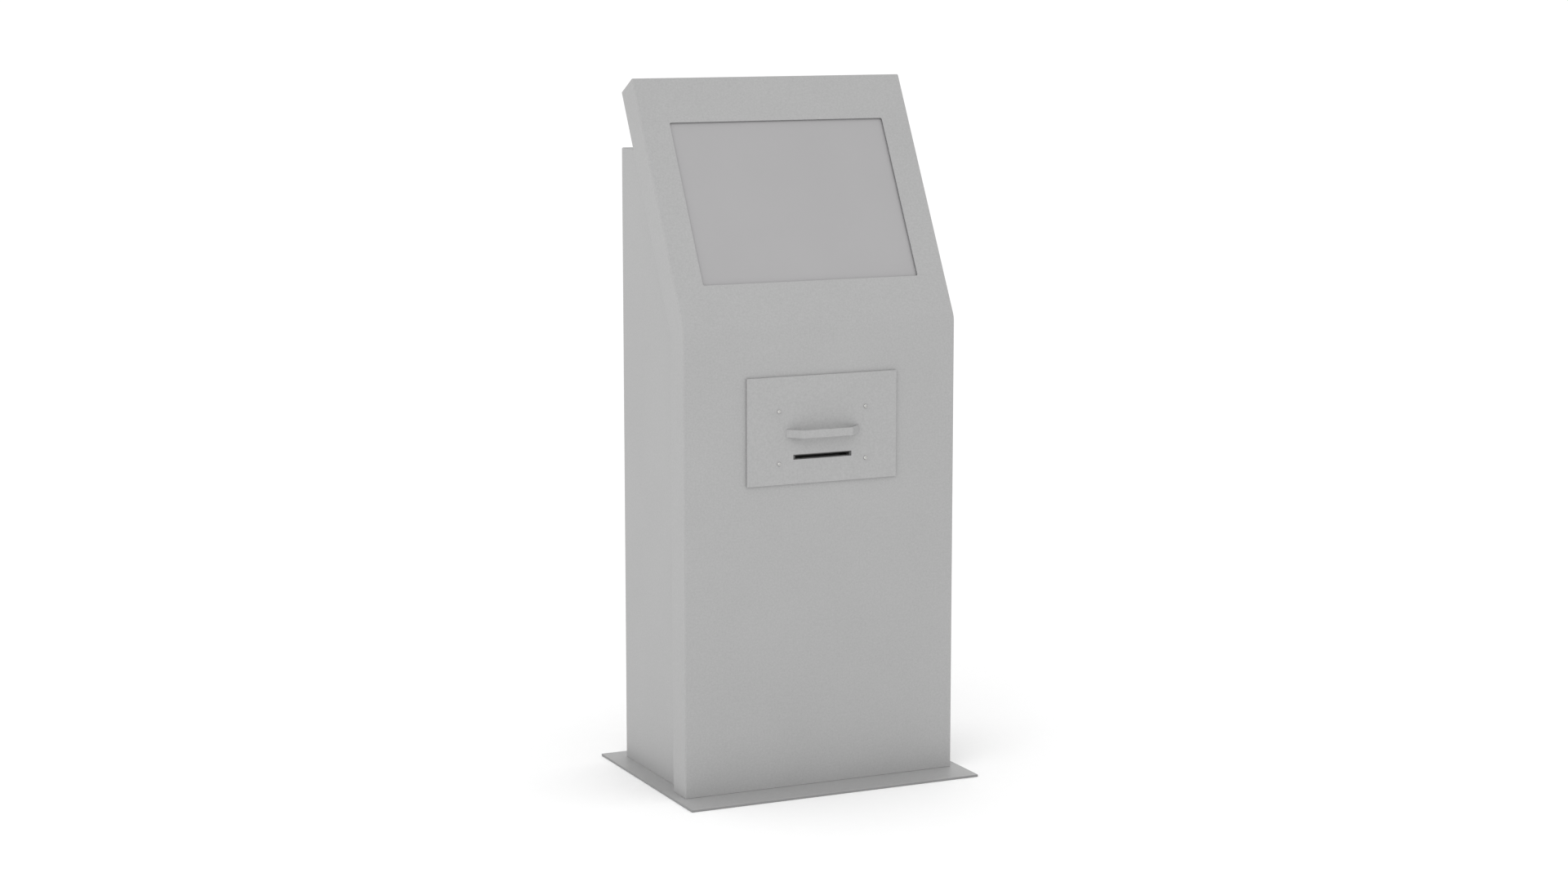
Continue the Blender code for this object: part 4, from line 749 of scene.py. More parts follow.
# the pull-out module's front: plate, screws, handle and slot
module = {
    "plateRounding": 0.8 * mm,
    "slot": (129.2 * mm, 10.1 * mm, 0.6 * mm),  # width, height, corner
    "slotHeight": 682.75 * mm,
    "handleFlat": 108.6 * mm,
    "handleSheet": 3 * mm,
    "handleBend": 6 * mm,
    "handleRounding": 0.8 * mm,
    "screwShank": 8 * mm,
    "screws": ("plate_screw_1", "plate_screw_2", "plate_screw_3", "plate_screw_4"),
}


def makeModulePlate():
    plate = slab(plateLow, plateHigh, module["plateRounding"], 3)
    slot = roundedHole(plate, *module["slot"], place(0, plateLow.y, module["slotHeight"], toFront))
    through(plate, (0, -1, 0), [slot], plateHigh.y - plateLow.y)
    makePiece("slot_plate", [plate], "casing", "cash_module", ["module_plate"], 0.3 * mm)
    heads = []
    for node in module["screws"]:
        spot = boxCentre(node)
        seat = place(spot.x, plateLow.y - gap, spot.z, toFront)
        heads.append(screwHead(screws["plate"], seat, module["screwShank"]))
    makePiece("plate_screws", heads, "bright_steel", "cash_module", module["screws"])


def makeHandle():
    # a strap bent at both ends of its flat, cut off level with the plate
    low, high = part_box("pull_handle")
    flat = module["handleFlat"] / 2
    leg = Vector((low.x + flat, high.y - low.y, 0))  # from the bow's bend to its foot
    foot = Vector((-flat, low.y, low.z)) + leg * 1.2
    strap = bmesh.new()
    line = [foot, Vector((-flat, low.y, low.z)), Vector((flat, low.y, low.z))]
    line.append(Vector((-foot.x, foot.y, low.z)))
    chain = [strap.verts.new(point) for point in line]
    edges = [strap.edges.new(pair) for pair in zip(chain, chain[1:])]
    drawOut(strap, edges, (0, 0, high.z - low.z))
    strap.normal_update()
    if max(strap.faces, key=lambda f: f.calc_area()).normal.y > 0:
        bmesh.ops.reverse_faces(strap, faces=strap.faces)
    lean = math.atan2(high.y - low.y, -low.x - flat)
    bends = [e for e in strap.edges if len(e.link_faces) == 2]
    bevel(strap, bends, module["handleBend"] * math.tan(lean / 2), 8)
    bmesh.ops.solidify(strap, geom=strap.faces[:], thickness=module["handleSheet"])
    bmesh.ops.bisect_plane(
        strap, geom=[*strap.verts, *strap.edges, *strap.faces], plane_co=(0, high.y, 0),
        plane_no=(0, 1, 0), clear_outer=True,
    )
    bmesh.ops.holes_fill(strap, edges=openEdges(strap.edges))
    bmesh.ops.recalc_face_normals(strap, faces=strap.faces)
    rounding = module["handleRounding"]
    makePiece("pull_strap", [strap], "casing", "cash_module", ["pull_handle"], rounding)


makeModulePlate()
makeHandle()
easeNodes(["slot_throat", "slot_shutter"], 0.4 * mm)
print("module front made")


# the rear door: a pan with slots, stiffened inside, and a grille over its fan
door = {
    "rounding": 1.5 * mm,
    "fanHeight": 1120 * mm,
    "fanHole": 55 * mm,
    "lockHole": 9.8 * mm,
    "intakes": 6,
    "intake": (180 * mm, 6 * mm),
    "intakeRise": 93 * mm,
    "intakePitch": 18 * mm,
    "stiffeners": (430 * mm, 900 * mm),  # heights
    "stiffener": (400 * mm, 40 * mm, 11 * mm),
    "stiffenerRounding": 4 * mm,
    "grilleCorner": 4 * mm,
    "grilleSlots": 7,
    "grillePitch": 15 * mm,
    "grilleSlot": 9 * mm,
    "grilleReach": 50 * mm,
    "grilleCircle": 60 * mm,
    "fanScrews": 52.5 * mm,
}


def makeDoor():
    back = doorHigh.y
    pan = slab(doorLow, doorHigh)
    bmesh.ops.delete(pan, geom=[facing(pan, (0, -1, 0))], context="FACES")
    soften(pan, door["rounding"], 3, 60)
    pan.normal_update()
    spot = boxCentre("lock_plug")
    holes = [roundHole(pan, door["fanHole"], place(0, back, door["fanHeight"], toFront), 64)]
    holes.append(roundHole(pan, door["lockHole"], place(spot.x, back, spot.z, toFront)))
    for row in range(door["intakes"]):
        z = doorLow.z + door["intakeRise"] + row * door["intakePitch"]
        holes.append(slotHole(pan, *door["intake"], place(0, back, z, toFront)))
    pierce(pan, facing(pan, (0, 1, 0)), holes)
    bmesh.ops.solidify(pan, geom=pan.faces[:], thickness=sheet)
    shapes = [pan]
    long, tall, deep = door["stiffener"]
    inner = back - sheet
    for z in door["stiffeners"]:
        low, high = (-long / 2, inner - deep, z - tall / 2), (long / 2, inner, z + tall / 2)
        shapes.append(slab(low, high, door["stiffenerRounding"], 4))
    makePiece("door_pan", shapes, "casing", "rear_door", ["rear_door"], 0.3 * mm)


def makeGrille():
    low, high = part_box("vent_grille")
    plate = slab(low, high)
    soften(plate, door["grilleCorner"], 5, 60, longer(1, 0.5 * mm))
    slots = []
    middle = (door["grilleSlots"] - 1) / 2
    for row in range(door["grilleSlots"]):
        z = (row - middle) * door["grillePitch"]
        reach = door["grilleReach"] * math.cos(math.asin(z / door["grilleCircle"]))
        matrix = place(0, high.y, door["fanHeight"] + z, toFront)
        slots.append(slotHole(plate, 2 * reach, door["grilleSlot"], matrix))
    through(plate, (0, 1, 0), slots, high.y - low.y)
    makePiece("fan_grille", [plate], "casing", "rear_door", ["vent_grille"], 0.25 * mm)
    heads = []
    for x, z in corners(door["fanScrews"], door["fanScrews"]):
        heads.append(screwHead(screws["small"], place(x, high.y, door["fanHeight"] + z, toBack)))
    makePiece("grille_screws", heads, "bright_steel", "rear_door")


# where the screws stand on the hinge leaves
hinge = {
    "leaf": 2 * mm,
    "frameScrews": 6.3 * mm,  # from the leaf's outer edge
    "doorScrews": 8 * mm,
    "endScrews": 10 * mm,
}


def makeHinges():
    face = doorHigh.y + gap + hinge["leaf"]
    for label in ("lower", "upper"):
        for leaf, body in (("frame", "cabinet"), ("door", "rear_door")):
            node = f"{label}_hinge_{leaf}_leaf"
            low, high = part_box(node)
            x = low.x + hinge["frameScrews"] if leaf == "frame" else high.x - hinge["doorScrews"]
            shapes = [refined(node)]
            for z in (low.z + hinge["endScrews"], (low.z + high.z) / 2, high.z - hinge["endScrews"]):
                shapes.append(screwHead(screws["small"], place(x, face, z, toBack)))
            makePiece(f"{label}_{leaf}_leaf", shapes, "bright_steel", body, [node], 0.2 * mm)
        easeNodes([f"{label}_hinge_pin"], 0.3 * mm)


# the lock's radii
lock = {
    "bore": 7.05 * mm,
    "barrel": 9.5 * mm,
    "plug": 7 * mm,
    "tail": 3.5 * mm,
    "keySlot": (1.3 * mm, 8.2 * mm, 0.5 * mm),
    "keyDepth": 4 * mm,
}


def makeLock():
    low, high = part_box("lock_barrel")
    spot = boxCentre("lock_plug")
    seat = place(spot.x, 0, spot.z, toBack)  # heights are then y
    face = high.y
    panel = doorHigh.y + gap
    rim = (high.x - low.x) / 2
    bore, barrel = lock["bore"], lock["barrel"]
    profile = [(bore, low.y), (bore, face - 0.4 * mm), (bore + 0.45 * mm, face), (rim - 1.4 * mm, face)]
    profile += [(rim - 0.5 * mm, face - 0.5 * mm), (rim, face - 1.5 * mm), (rim, panel)]
    profile += [(barrel, panel), (barrel, low.y)]
    ring = lathe(profile, seat, 48, True)
    makePiece("lock_escutcheon", [ring], "bright_steel", "rear_door", ["lock_barrel"])
    low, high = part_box("lock_plug")
    face = high.y
    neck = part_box("lock_cam")[1].y + gap
    plug, tail = lock["plug"], lock["tail"]
    profile = [(plug - 0.4 * mm, face), (plug, face - 0.4 * mm), (plug, neck), (tail, neck)]
    core = lathe([*profile, (tail, low.y), (0, low.y)], Matrix.Identity(4), 48)
    closeEnd(core)
    key = roundedHole(core, *lock["keySlot"], place(z=face))
    pocket(core, facing(core, (0, 0, 1)), [key], lock["keyDepth"])
    makePiece("keyed_plug", [put(core, seat)], "brass", "lock", ["lock_plug"])
    easeNodes(["lock_cam", "lock_keeper"], 0.4 * mm)


makeDoor()
makeGrille()
makeHinges()
makeLock()
print("rear door made")


# the fan inside the door
fan = {
    "frame": 120 * mm,
    "corner": 6 * mm,
    "bore": 55 * mm,
    "screwHole": 2.2 * mm,
    "seat": (19 * mm, 3.5 * mm),  # the motor's plate: radius, thickness
    "strut": (15 * mm, 2.6 * mm),  # where it starts, half its width
    "spindle": 3 * mm,
    "spindleEnd": 6 * mm,
    "hub": 18 * mm,
    "hubWall": 2 * mm,
    "blades": 7,
    "bladeTip": 51.5 * mm,
    "chord": 22 * mm,
    "bladeSheet": 1.4 * mm,
    "bow": 1.2 * mm,
    "twist": (50, 36),  # degrees at root and tip
}


def makeFanFrame():
    low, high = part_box("fan_frame")
    half = fan["frame"] / 2
    frameBox = slab((-half, -half, low.y), (half, half, high.y))
    soften(frameBox, fan["corner"], 6, 60, longer(2, 10 * mm))
    holes = [roundHole(frameBox, fan["bore"], place(z=high.y), 64)]
    for x, y in corners(door["fanScrews"], door["fanScrews"]):
        holes.append(roundHole(frameBox, fan["screwHole"], place(x, y, high.y), 16))
    through(frameBox, (0, 0, 1), holes, high.y - low.y)
    soften(frameBox, 0.5 * mm, 2, 60)
    radius, thick = fan["seat"]
    floor = low.y + thick
    shapes = [frameBox, rod(radius, thick, place(z=low.y + thick / 2), 0.5 * mm, 48)]
    start, broad = fan["strut"]
    for turn in (0, 90, 180, 270):
        strut = slab((start, -broad, low.y), (half - 3 * mm, broad, floor), 0.8 * mm)
        shapes.append(put(strut, place(turn=turn, axis="Z")))
    end, root = high.y - fan["spindleEnd"], floor - mm
    shapes.append(rod(fan["spindle"], end - root, place(z=(end + root) / 2), 0.3 * mm, 24))
    shapes = [put(shape, place(z=door["fanHeight"], turn=toBack)) for shape in shapes]
    makePiece("axial_fan_frame", shapes, "black_plastic", "rear_door", ["fan_frame"])


def fanBlade():
    # a curved sheet: chord along X, from hub to tip along Y, twisted row by row
    root = fan["hub"] - 1.5 * mm
    length = fan["bladeTip"] - root
    blade = bmesh.new()
    bmesh.ops.create_grid(blade, x_segments=4, y_segments=6, size=0.5)
    bmesh.ops.scale(blade, vec=(fan["chord"], length, 1), verts=blade.verts)
    bmesh.ops.translate(blade, vec=(0, root + length / 2, 0), verts=blade.verts)
    for share, rise in ((0.4, fan["bow"]), (0.1, fan["bow"] * 0.4)):  # the middle rows, then the spine
        raised = [v for v in blade.verts if abs(v.co.x) < fan["chord"] * share]
        bmesh.ops.translate(blade, vec=(0, 0, rise), verts=raised)
    first, last = fan["twist"]
    for height in sorted({round(v.co.y, 6) for v in blade.verts}):
        row = [v for v in blade.verts if abs(v.co.y - height) < 1e-5]
        twist = math.radians(first + (last - first) * (height - root) / length)
        bmesh.ops.rotate(blade, cent=(0, 0, 0), matrix=Matrix.Rotation(twist, 3, "Y"), verts=row)
    bmesh.ops.solidify(blade, geom=blade.faces[:], thickness=fan["bladeSheet"])
    return blade


def makeFanRotor():
    low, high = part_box("fan_rotor")
    hub = fan["hub"]
    inner, ceiling = hub - fan["hubWall"], high.y - 4 * mm
    bush = fan["spindle"] + 0.06 * mm
    profile = [(0, high.y), (hub - 3 * mm, high.y), (hub - 0.9 * mm, high.y - 0.9 * mm)]
    profile += [(hub, high.y - 3 * mm), (hub, low.y), (inner, low.y), (inner, ceiling)]
    profile += [(bush, ceiling), (bush, ceiling + 0.5 * mm), (0, ceiling + 0.5 * mm)]
    shapes = [lathe(profile, Matrix.Identity(4), 56)]
    for number in range(fan["blades"]):
        turn = Matrix.Rotation(math.tau * number / fan["blades"], 4, "Z")
        shapes.append(put(fanBlade(), place(z=(low.y + high.y) / 2) @ turn))
    shapes = [put(shape, place(z=door["fanHeight"], turn=toBack)) for shape in shapes]
    makePiece("axial_fan_rotor", shapes, "black_plastic", "fan", ["fan_rotor"])


# the mains inlet and its switch, in the sill
inlet = {
    "socket": (157.5 * mm, 47 * mm),
    "floor": 188.05 * mm,
    "pinEnd": 199.5 * mm,
    "pins": ((-7 * mm, -2 * mm), (0.0, 2.5 * mm), (7 * mm, -2 * mm)),
    "pin": (2 * mm, 4.4 * mm),
    "rockerFace": 6.5 * mm,
    "rockerLean": 16,  # degrees between the rocker's two faces
    "markProud": 0.12 * mm,
    "bar": (-6.6 * mm, -2.8 * mm),
    "ring": (1.4 * mm, 2.1 * mm),  # inner and outer radius
    "ringAt": 4.6 * mm,
}


def makeInlet():
    easeNodes(["mains_inlet", "power_rocker"], 0.5 * mm)
    x, z = inlet["socket"]
    wide, tall = (size / 2 for size in inlet["pin"])
    blades = []
    for across, up in inlet["pins"]:
        low = (x + across - wide, inlet["floor"], z + up - tall)
        high = (x + across + wide, inlet["pinEnd"], z + up + tall)
        blades.append(slab(low, high, 0.5 * mm))
    makePiece("inlet_pins", blades, "bright_steel", "cabinet")
    # a bar and a ring, raised on the rocker's two faces
    centre = place(*jointPlace("rocker_tilt"))
    face = inlet["rockerFace"]
    floor, top = face - mm, face + inlet["markProud"]
    start, end = inlet["bar"]
    bar = slab((-0.5 * mm, start, floor), (0.5 * mm, end, top), 0.1 * mm)
    inner, outer = inlet["ring"]
    profile = [(outer, floor), (outer, top), (inner, top), (inner, floor)]
    ring = lathe(profile, place(y=inlet["ringAt"]), 24, True)
    leaning = place(turn=toBack - inlet["rockerLean"])
    marks = [put(bar, centre @ place(turn=toBack)), put(ring, centre @ leaning)]
    makePiece("rocker_marks", marks, "grey_plastic", "rocker")


makeFanFrame()
makeFanRotor()
makeInlet()
print("fan and inlet made")


# the equipment on the lower shelf
equipment = {
    "caseRounding": 2.5 * mm,
    "panel": (276 * mm, 62 * mm, 3 * mm),  # width, height, corner
    "panelDepth": 1.2 * mm,
    "panelScrews": (131 * mm, 24 * mm),
    # across from the middle, width and height, in mm
    "sockets": ((-118, 16, 13), (-96, 16, 13), (-70, 15, 7), (-48, 15, 7), (-22, 20, 8), (8, 11, 11)),
    "socketDrop": 12 * mm,
    "socketWall": 0.8,  # in mm, as the sockets are
    "socketReach": (0.8 * mm, 0.6 * mm),  # behind and in front of the panel
    "vents": 14,
    "ventPitch": 9 * mm,
    "vent": (4 * mm, 16 * mm, 1.9 * mm),
    "ventStart": 40 * mm,
    "ventRows": (14 * mm, -8 * mm),
    "ventDepth": 9 * mm,
    "groove": (5 * mm, 60 * mm, 2.4 * mm),
    "grooveDepth": 1.5 * mm,
}


def makeControlUnit():
    low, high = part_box("control_unit")
    case = slab(low, high, equipment["caseRounding"], 3)
    middle = (low + high) / 2
    recess = roundedHole(case, *equipment["panel"], place(middle.x, high.y, middle.z, toFront))
    pocket(case, facing(case, (0, 1, 0)), [recess], equipment["panelDepth"])
    panel = high.y - equipment["panelDepth"]
    floors = [f for f in case.faces if abs(f.calc_center_median().y - panel) < 0.1 * mm]
    face = max((f for f in floors if f.normal.y > 0.999), key=lambda f: f.calc_area())
    mouths = []
    shells = []
    wall = equipment["socketWall"]
    sunk, proud = equipment["socketReach"]
    for x, wide, tall in equipment["sockets"]:
        spot = Vector((middle.x + x * mm, panel, middle.z - equipment["socketDrop"]))
        mouths.append(roundedHole(case, wide * mm, tall * mm, 0.8 * mm, place(*spot, toFront)))
        across, up = wide / 2 * mm, tall / 2 * mm
        shell = slab((-across, -up, -sunk), (across, up, proud))
        width, height = (wide - 2 * wall) * mm, (tall - 2 * wall) * mm
        opening = roundedHole(shell, width, height, 0.6 * mm, place(z=proud))
        through(shell, (0, 0, 1), [opening], sunk + proud)
        shells.append(put(shell, place(*spot, toBack)))
    pitch = equipment["ventPitch"]
    columns = equipment["vents"] // 2
    for row in equipment["ventRows"]:
        for column in range(columns):
            x = middle.x + equipment["ventStart"] + column * pitch
            mouths.append(roundedHole(case, *equipment["vent"], place(x, panel, middle.z + row, toFront)))
    pocket(case, face, mouths, equipment["ventDepth"])
    grooves = []
    for column in range(equipment["vents"]):
        x = middle.x + (column - (equipment["vents"] - 1) / 2) * 2 * pitch
        grooves.append(roundedHole(case, *equipment["groove"], place(x, middle.y, high.z)))
    pocket(case, facing(case, (0, 0, 1)), grooves, equipment["grooveDepth"])
    makePiece("controller_case", [case], "grey_plastic", "cabinet", ["control_unit"], 0.2 * mm)
    for x, z in corners(*equipment["panelScrews"]):
        shells.append(screwHead(screws["panel"], place(middle.x + x, panel, middle.z + z, toBack)))
    makePiece("controller_sockets", shells, "bright_steel", "cabinet", (), 0.15 * mm)


supply = {
    "rounding": 1.2 * mm,
    "holes": (8, 12),
    "holePitch": 8.5 * mm,
    "hole": 2.6 * mm,
    "holeDepth": 1.5 * mm,
    "terminals": 7,
    "terminalPitch": 9.5 * mm,
    "blockDepth": 14 * mm,
    "blockHeights": (4 * mm, 16 * mm),
    "wallHeights": (15 * mm, 24 * mm),
    "wall": 0.8 * mm,  # half its thickness
}


def makePowerSupply():
    low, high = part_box("power_supply")
    middle = (low + high) / 2
    case = slab(low, high, supply["rounding"])
    columns, rows = supply["holes"]
    holes = []
    for column in range(columns):
        for row in range(rows):
            x = middle.x + (column - (columns - 1) / 2) * supply["holePitch"]
            y = middle.y + (row - (rows - 1) / 2) * supply["holePitch"]
            holes.append(roundHole(case, supply["hole"], place(x, y, high.z), 6))
    pocket(case, facing(case, (0, 0, 1)), holes, supply["holeDepth"])
    makePiece("supply_case", [case], "supply_housing", "cabinet", ["power_supply"], 0.2 * mm)
    # a terminal block: a bar with thin walls between its screws
    count, pitch = supply["terminals"], supply["terminalPitch"]
    start, end = middle.x - count * pitch / 2, middle.x + count * pitch / 2
    near, far = high.y, high.y + supply["blockDepth"]
    foot, deck = (low.z + height for height in supply["blockHeights"])
    base, crest = (low.z + height for height in supply["wallHeights"])
    block = [slab((start, near, foot), (end, far, deck), mm)]
    heads = []
    for number in range(count + 1):
        x = start + number * pitch
        left, right = max(x - supply["wall"], start), min(x + supply["wall"], end)
        block.append(slab((left, near, base), (right, far, crest), 0.3 * mm))
        if number < count:
            seat = place(x + pitch / 2, (near + far) / 2, deck + 0.2 * mm)
            heads.append(screwHead(screws["terminal"], seat))
    makePiece("supply_terminals", block, "black_plastic", "cabinet")
    makePiece("terminal_screws", heads, "bright_steel", "cabinet")


# the cassette, its lid and the rollers that feed it
cassette = {
    "corner": 4 * mm,
    "wall": 2 * mm,
    "mouth": (129 * mm, 10 * mm, 2 * mm),  # width, height, corner
    "sidePanels": 3,
    "sidePanel": (118 * mm, 40 * mm, 4 * mm),
    "sidePanelGap": 8 * mm,
    "panelDepth": 0.8 * mm,
    "card": (70 * mm, 28 * mm, 2 * mm),
    "cardDrop": 35 * mm,
    "cardDepth": 0.7 * mm,
    "lidSheet": 2.5 * mm,
    "lidPanel": (124 * mm, 40 * mm, 5 * mm),
    "lidPanelAt": 52 * mm,
    "ear": (50 * mm, 4 * mm, 14 * mm),  # from the middle, thickness, length
    "earRounding": 4.5 * mm,
    "bailHole": 3.1 * mm,
}


def makeCassette():
    low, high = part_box("cassette_body")
    middle = (low + high) / 2
    box = slab(low, high)
    bmesh.ops.delete(box, geom=[facing(box, (0, 0, 1))], context="FACES")
    soften(box, cassette["corner"], 5, 60)
    box.normal_update()
    mouth = roundedHole(box, *cassette["mouth"], place(0, low.y, module["slotHeight"], toFront))
    pierce(box, facing(box, (0, -1, 0)), [mouth])
    bmesh.ops.solidify(box, geom=box.faces[:], thickness=cassette["wall"])
    box.normal_update()
    count = cassette["sidePanels"]
    pitch = cassette["sidePanel"][1] + cassette["sidePanelGap"]
    for side in (-1, 1):
        panels = []
        for number in range(count):
            y = middle.y + (number - (count - 1) / 2) * pitch
            upright = place(side * high.x, y, middle.z, 90, "Y")
            panels.append(roundedHole(box, *cassette["sidePanel"], upright))
        pocket(box, facing(box, (side, 0, 0)), panels, cassette["panelDepth"])
    spot = place(0, high.y, high.z - cassette["cardDrop"], toFront)
    card = roundedHole(box, *cassette["card"], spot)
    pocket(box, facing(box, (0, 1, 0)), [card], cassette["cardDepth"])
    makePiece("note_cassette", [box], "grey_plastic", "cash_module", ["cassette_body"], 0.3 * mm)


def makeLid():
    low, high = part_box("cassette_lid")
    hingeY, hingeZ = jointPlace("bail_lift")[1:]
    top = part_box("cassette_body")[1].z + gap + cassette["lidSheet"]
    lid = slab(low, (high.x, high.y, top))
    soften(lid, cassette["corner"], 5, 60, longer(2, mm))
    panels = []
    for side in (-1, 1):
        y = (low.y + high.y) / 2 + side * cassette["lidPanelAt"]
        panels.append(roundedHole(lid, *cassette["lidPanel"], place(0, y, top)))
    pocket(lid, facing(lid, (0, 0, 1)), panels, cassette["panelDepth"])
    inset, thick, long = cassette["ear"]
    across = longer(0, mm)
    shapes = [lid]
    for left in (-inset - thick, inset):
        ear = slab((0, -long / 2, top - hingeZ - 0.5 * mm), (thick, long / 2, high.z - hingeZ))
        upper = [e for e in ear.edges if across(e) and min(v.co.z for v in e.verts) > 0]
        soften(ear, cassette["earRounding"], 6, 60, lambda e: e in upper)
        hole = roundHole(ear, cassette["bailHole"], place(x=thick, turn=90, axis="Y"), 24)
        through(ear, (1, 0, 0), [hole], thick)
        shapes.append(put(ear, place(left, hingeY, hingeZ)))
    makePiece("note_cassette_lid", shapes, "grey_plastic", "cash_module", ["cassette_lid"], 0.25 * mm)


transport = {
    "roller": 10 * mm,
    "rollerHalf": 62 * mm,
    "bands": 5,
    "groove": (3 * mm, 1.4 * mm),
    "bore": 3.05 * mm,
    "shaft": 3 * mm,
    "clip": (4.6 * mm, 0.8 * mm),  # radius, thickness
    "motor": 15 * mm,
    "motorBore": 2.1 * mm,
    "motorBoreDepth": 14 * mm,
    "motorBoss": 5 * mm,
    "tabs": (30, 150),  # degrees round the motor's end
    "hub": (3.06 * mm, 6.5 * mm),  # inner and outer radius
    "flange": (16.4 * mm, 18 * mm),
    "plateScrews": (5.5 * mm, 8 * mm, 2 * mm),  # from the foot's side, end and underside
}


def axleAt(node):
    # the axle of a node, whose shape is then turned from its Z onto x
    spot = boxCentre(node)
    return place(0, spot.y, spot.z, 90, "Y")


def collar(radii, low, high, axle, steps):
    inner, outer = radii
    return lathe([(inner, low), (outer, low), (outer, high), (inner, high)], axle, steps, True)


def makeRoller(label):
    axle = axleAt(label + "_roller")
    half = transport["rollerHalf"]
    radius, bore = transport["roller"], transport["bore"]
    wide, deep = transport["groove"]
    step = 2 * half / transport["bands"]
    ease = 0.5 * mm
    slant = 0.4 * mm
    profile = [(bore, -half), (radius - ease, -half), (radius, -half + ease)]
    for band in range(1, transport["bands"]):
        x = -half + band * step
        profile += [(radius, x - wide / 2), (radius - deep, x - wide / 2 + slant)]
        profile += [(radius - deep, x + wide / 2 - slant), (radius, x + wide / 2)]
    profile += [(radius, half - ease), (radius - ease, half), (bore, half)]
    sleeve = lathe(profile, axle, 48, True)
    makePiece(f"{label}_roller_sleeve", [sleeve], "rubber", label, [label + "_roller"])
    low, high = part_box(label + "_shaft")
    radius = transport["shaft"]
    profile = [(0, low.x), (radius - ease, low.x), (radius, low.x + ease)]
    profile += [(radius, high.x - ease), (radius - ease, high.x), (0, high.x)]
    clip, thick = transport["clip"]
    x = low.x + 0.2 * mm
    shapes = [lathe(profile, axle, 32), collar((radius - 0.1 * mm, clip), x, x + thick, axle, 24)]
    makePiece(f"{label}_roller_axle", shapes, "bright_steel", label, [label + "_shaft"], 0.1 * mm)


def makeMotor():
    low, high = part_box("feed_motor")
    axle = axleAt("feed_motor")
    radius, bore, boss = transport["motor"], transport["motorBore"], transport["motorBoss"]
    nose, tail = high.x, low.x
    groove = radius - 0.6 * mm
    profile = [(bore, nose), (boss, nose), (boss + 0.2 * mm, nose - 0.6 * mm)]
    profile += [(radius - 2 * mm, nose - 0.6 * mm), (radius - 0.5 * mm, nose - 1.1 * mm)]
    profile += [(radius, nose - 2.6 * mm), (radius, tail + 9 * mm), (groove, tail + 8.6 * mm)]
    profile += [(groove, tail + 8 * mm), (radius, tail + 7.6 * mm), (radius, tail + 1.5 * mm)]
    profile += [(radius - 1.5 * mm, tail), (4 * mm, tail), (3.6 * mm, tail - 1.2 * mm)]
    can = lathe([*profile, (0, tail - 1.2 * mm)], axle, 56)
    drawOut(can, openEdges(can.edges), (-transport["motorBoreDepth"], 0, 0))
    closeEnd(can)
    makePiece("gear_motor_can", [can], "zinc_steel", "cash_module", ["feed_motor"])
    tabs = []
    for turn in transport["tabs"]:
        tab = slab((-1.4 * mm, 8.5 * mm, -5 * mm), (1.4 * mm, 9.1 * mm, 0.5 * mm), 0.2 * mm)
        tabs.append(put(tab, axle @ place(z=tail) @ place(turn=turn, axis="Z")))
    makePiece("motor_tabs", tabs, "brass", "cash_module")


def makeGears():
    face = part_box("feed_gear")[1].x
    axle = axleAt("feed_roller")
    hub = collar(transport["hub"], face - mm, face + 1.2 * mm, axle, 32)
    flange = collar(transport["flange"], face - mm, face + 0.5 * mm, axle, 56)
    shapes = [refined("feed_gear"), hub, flange]
    makePiece("feed_gear_hubbed", shapes, "grey_plastic", "feed", ["feed_gear"], 0.12 * mm, smooth=30)
    easeNodes(["motor_pinion"], 0.12 * mm)


def makeTransportPlates():
    side, end, rise = transport["plateScrews"]
    for label in ("left", "right"):
        node = f"transport_plate_{label}"
        low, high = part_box(node)
        easeNodes([node], 0.3 * mm)
        x = low.x + side if label == "left" else high.x - side
        seats = (place(x, y, low.z + rise) for y in (low.y + end, high.y - end))
        heads = [screwHead(screws["small"], seat) for seat in seats]
        makePiece(node + "_screws", heads, "bright_steel", "cash_module")


makeControlUnit()
makePowerSupply()
print("equipment made")
makeCassette()
makeLid()
makeRoller("feed")
makeRoller("pinch")
makeMotor()
makeGears()
makeTransportPlates()
print("transport and cassette made")
easeNodes(["equipment_shelf", "module_shelf", "display_bracket_left", "display_bracket_right"], 0.5 * mm)
for side in ("left", "right"):
    easeNodes([f"slide_{part}_{side}" for part in ("outer", "middle", "inner", "bracket")], 0.25 * mm)
easeNodes(["module_tray", "pusher_plate", "cassette_bail"], 0.3 * mm)
print("sheet parts eased")


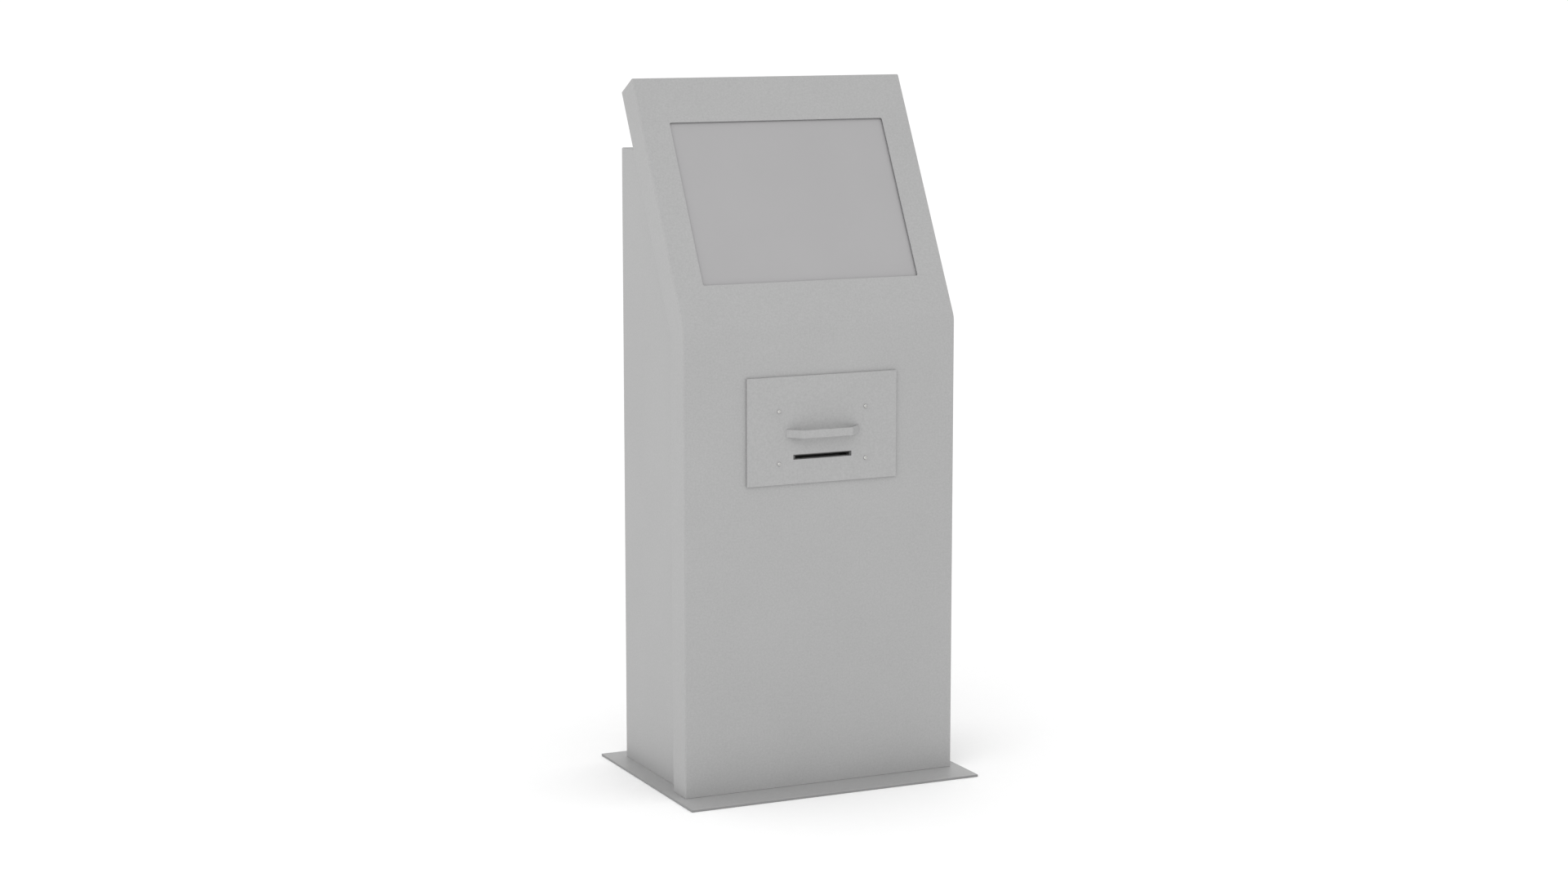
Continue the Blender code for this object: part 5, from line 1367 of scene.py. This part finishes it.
# soft, nearly shadowless light, and the camera
studio = {
    "floor": 60,  # metres
    "world": 1.06,
    "lightPlace": (-3.6, -3.4, 3.6),
    "lightAim": (0, 0, 0.8),
    "lightSize": 3.5,
    "lightPower": 45,
    "cameraPlace": (-2.6218, -5.6149, 1.6540),
    "cameraPitch": 8.861,  # degrees down
    "cameraTurn": 24.965,  # degrees to the right
    "lens": 70.05,
    "sensor": 36,
}
# matt painted floor: almost white, with a faint unevenness that keeps it from looking like a void
floorPaint = patterned("mattFloorPaint", {"Specular IOR Level": 0.1}, {
    "tones": ("#FDFDFD", "#FEFEFE"), "roughness": (0.85, 0.95),
    "grain": 30, "clouds": 900, "relief": 0.01,
})


def makeFloor():
    shape = bmesh.new()
    bmesh.ops.create_grid(shape, x_segments=1, y_segments=1, size=studio["floor"])
    mesh = bpy.data.meshes.new("studio_floor")
    shape.to_mesh(mesh)
    shape.free()
    floor = bpy.data.objects.new("studio_floor", mesh)
    bpy.context.scene.collection.objects.link(floor)
    floor.data.materials.append(floorPaint)


def makeLight():
    world = bpy.data.worlds.new("studio")
    bpy.context.scene.world = world
    world.use_nodes = True
    background = world.node_tree.nodes["Background"]
    background.inputs["Color"].default_value = linearColour("#FFFFFF")
    background.inputs["Strength"].default_value = studio["world"]
    lamp = bpy.data.lights.new("softbox", "AREA")
    lamp.size = studio["lightSize"]
    lamp.energy = studio["lightPower"]
    softbox = bpy.data.objects.new("softbox", lamp)
    softbox.location = studio["lightPlace"]
    aim = Vector(studio["lightAim"]) - softbox.location
    softbox.rotation_euler = aim.to_track_quat("-Z", "Y").to_euler()
    bpy.context.scene.collection.objects.link(softbox)


def makeCamera():
    lens = bpy.data.cameras.new("camera")
    lens.lens = studio["lens"]
    lens.sensor_width = studio["sensor"]
    camera = bpy.data.objects.new("camera", lens)
    camera.location = studio["cameraPlace"]
    pitch, turn = math.radians(90 - studio["cameraPitch"]), math.radians(-studio["cameraTurn"])
    camera.rotation_euler = (pitch, 0, turn)
    bpy.context.scene.collection.objects.link(camera)
    bpy.context.scene.camera = camera


makeFloor()
makeLight()
makeCamera()
bpy.context.scene.view_settings.view_transform = "Standard"
print("studio ready")
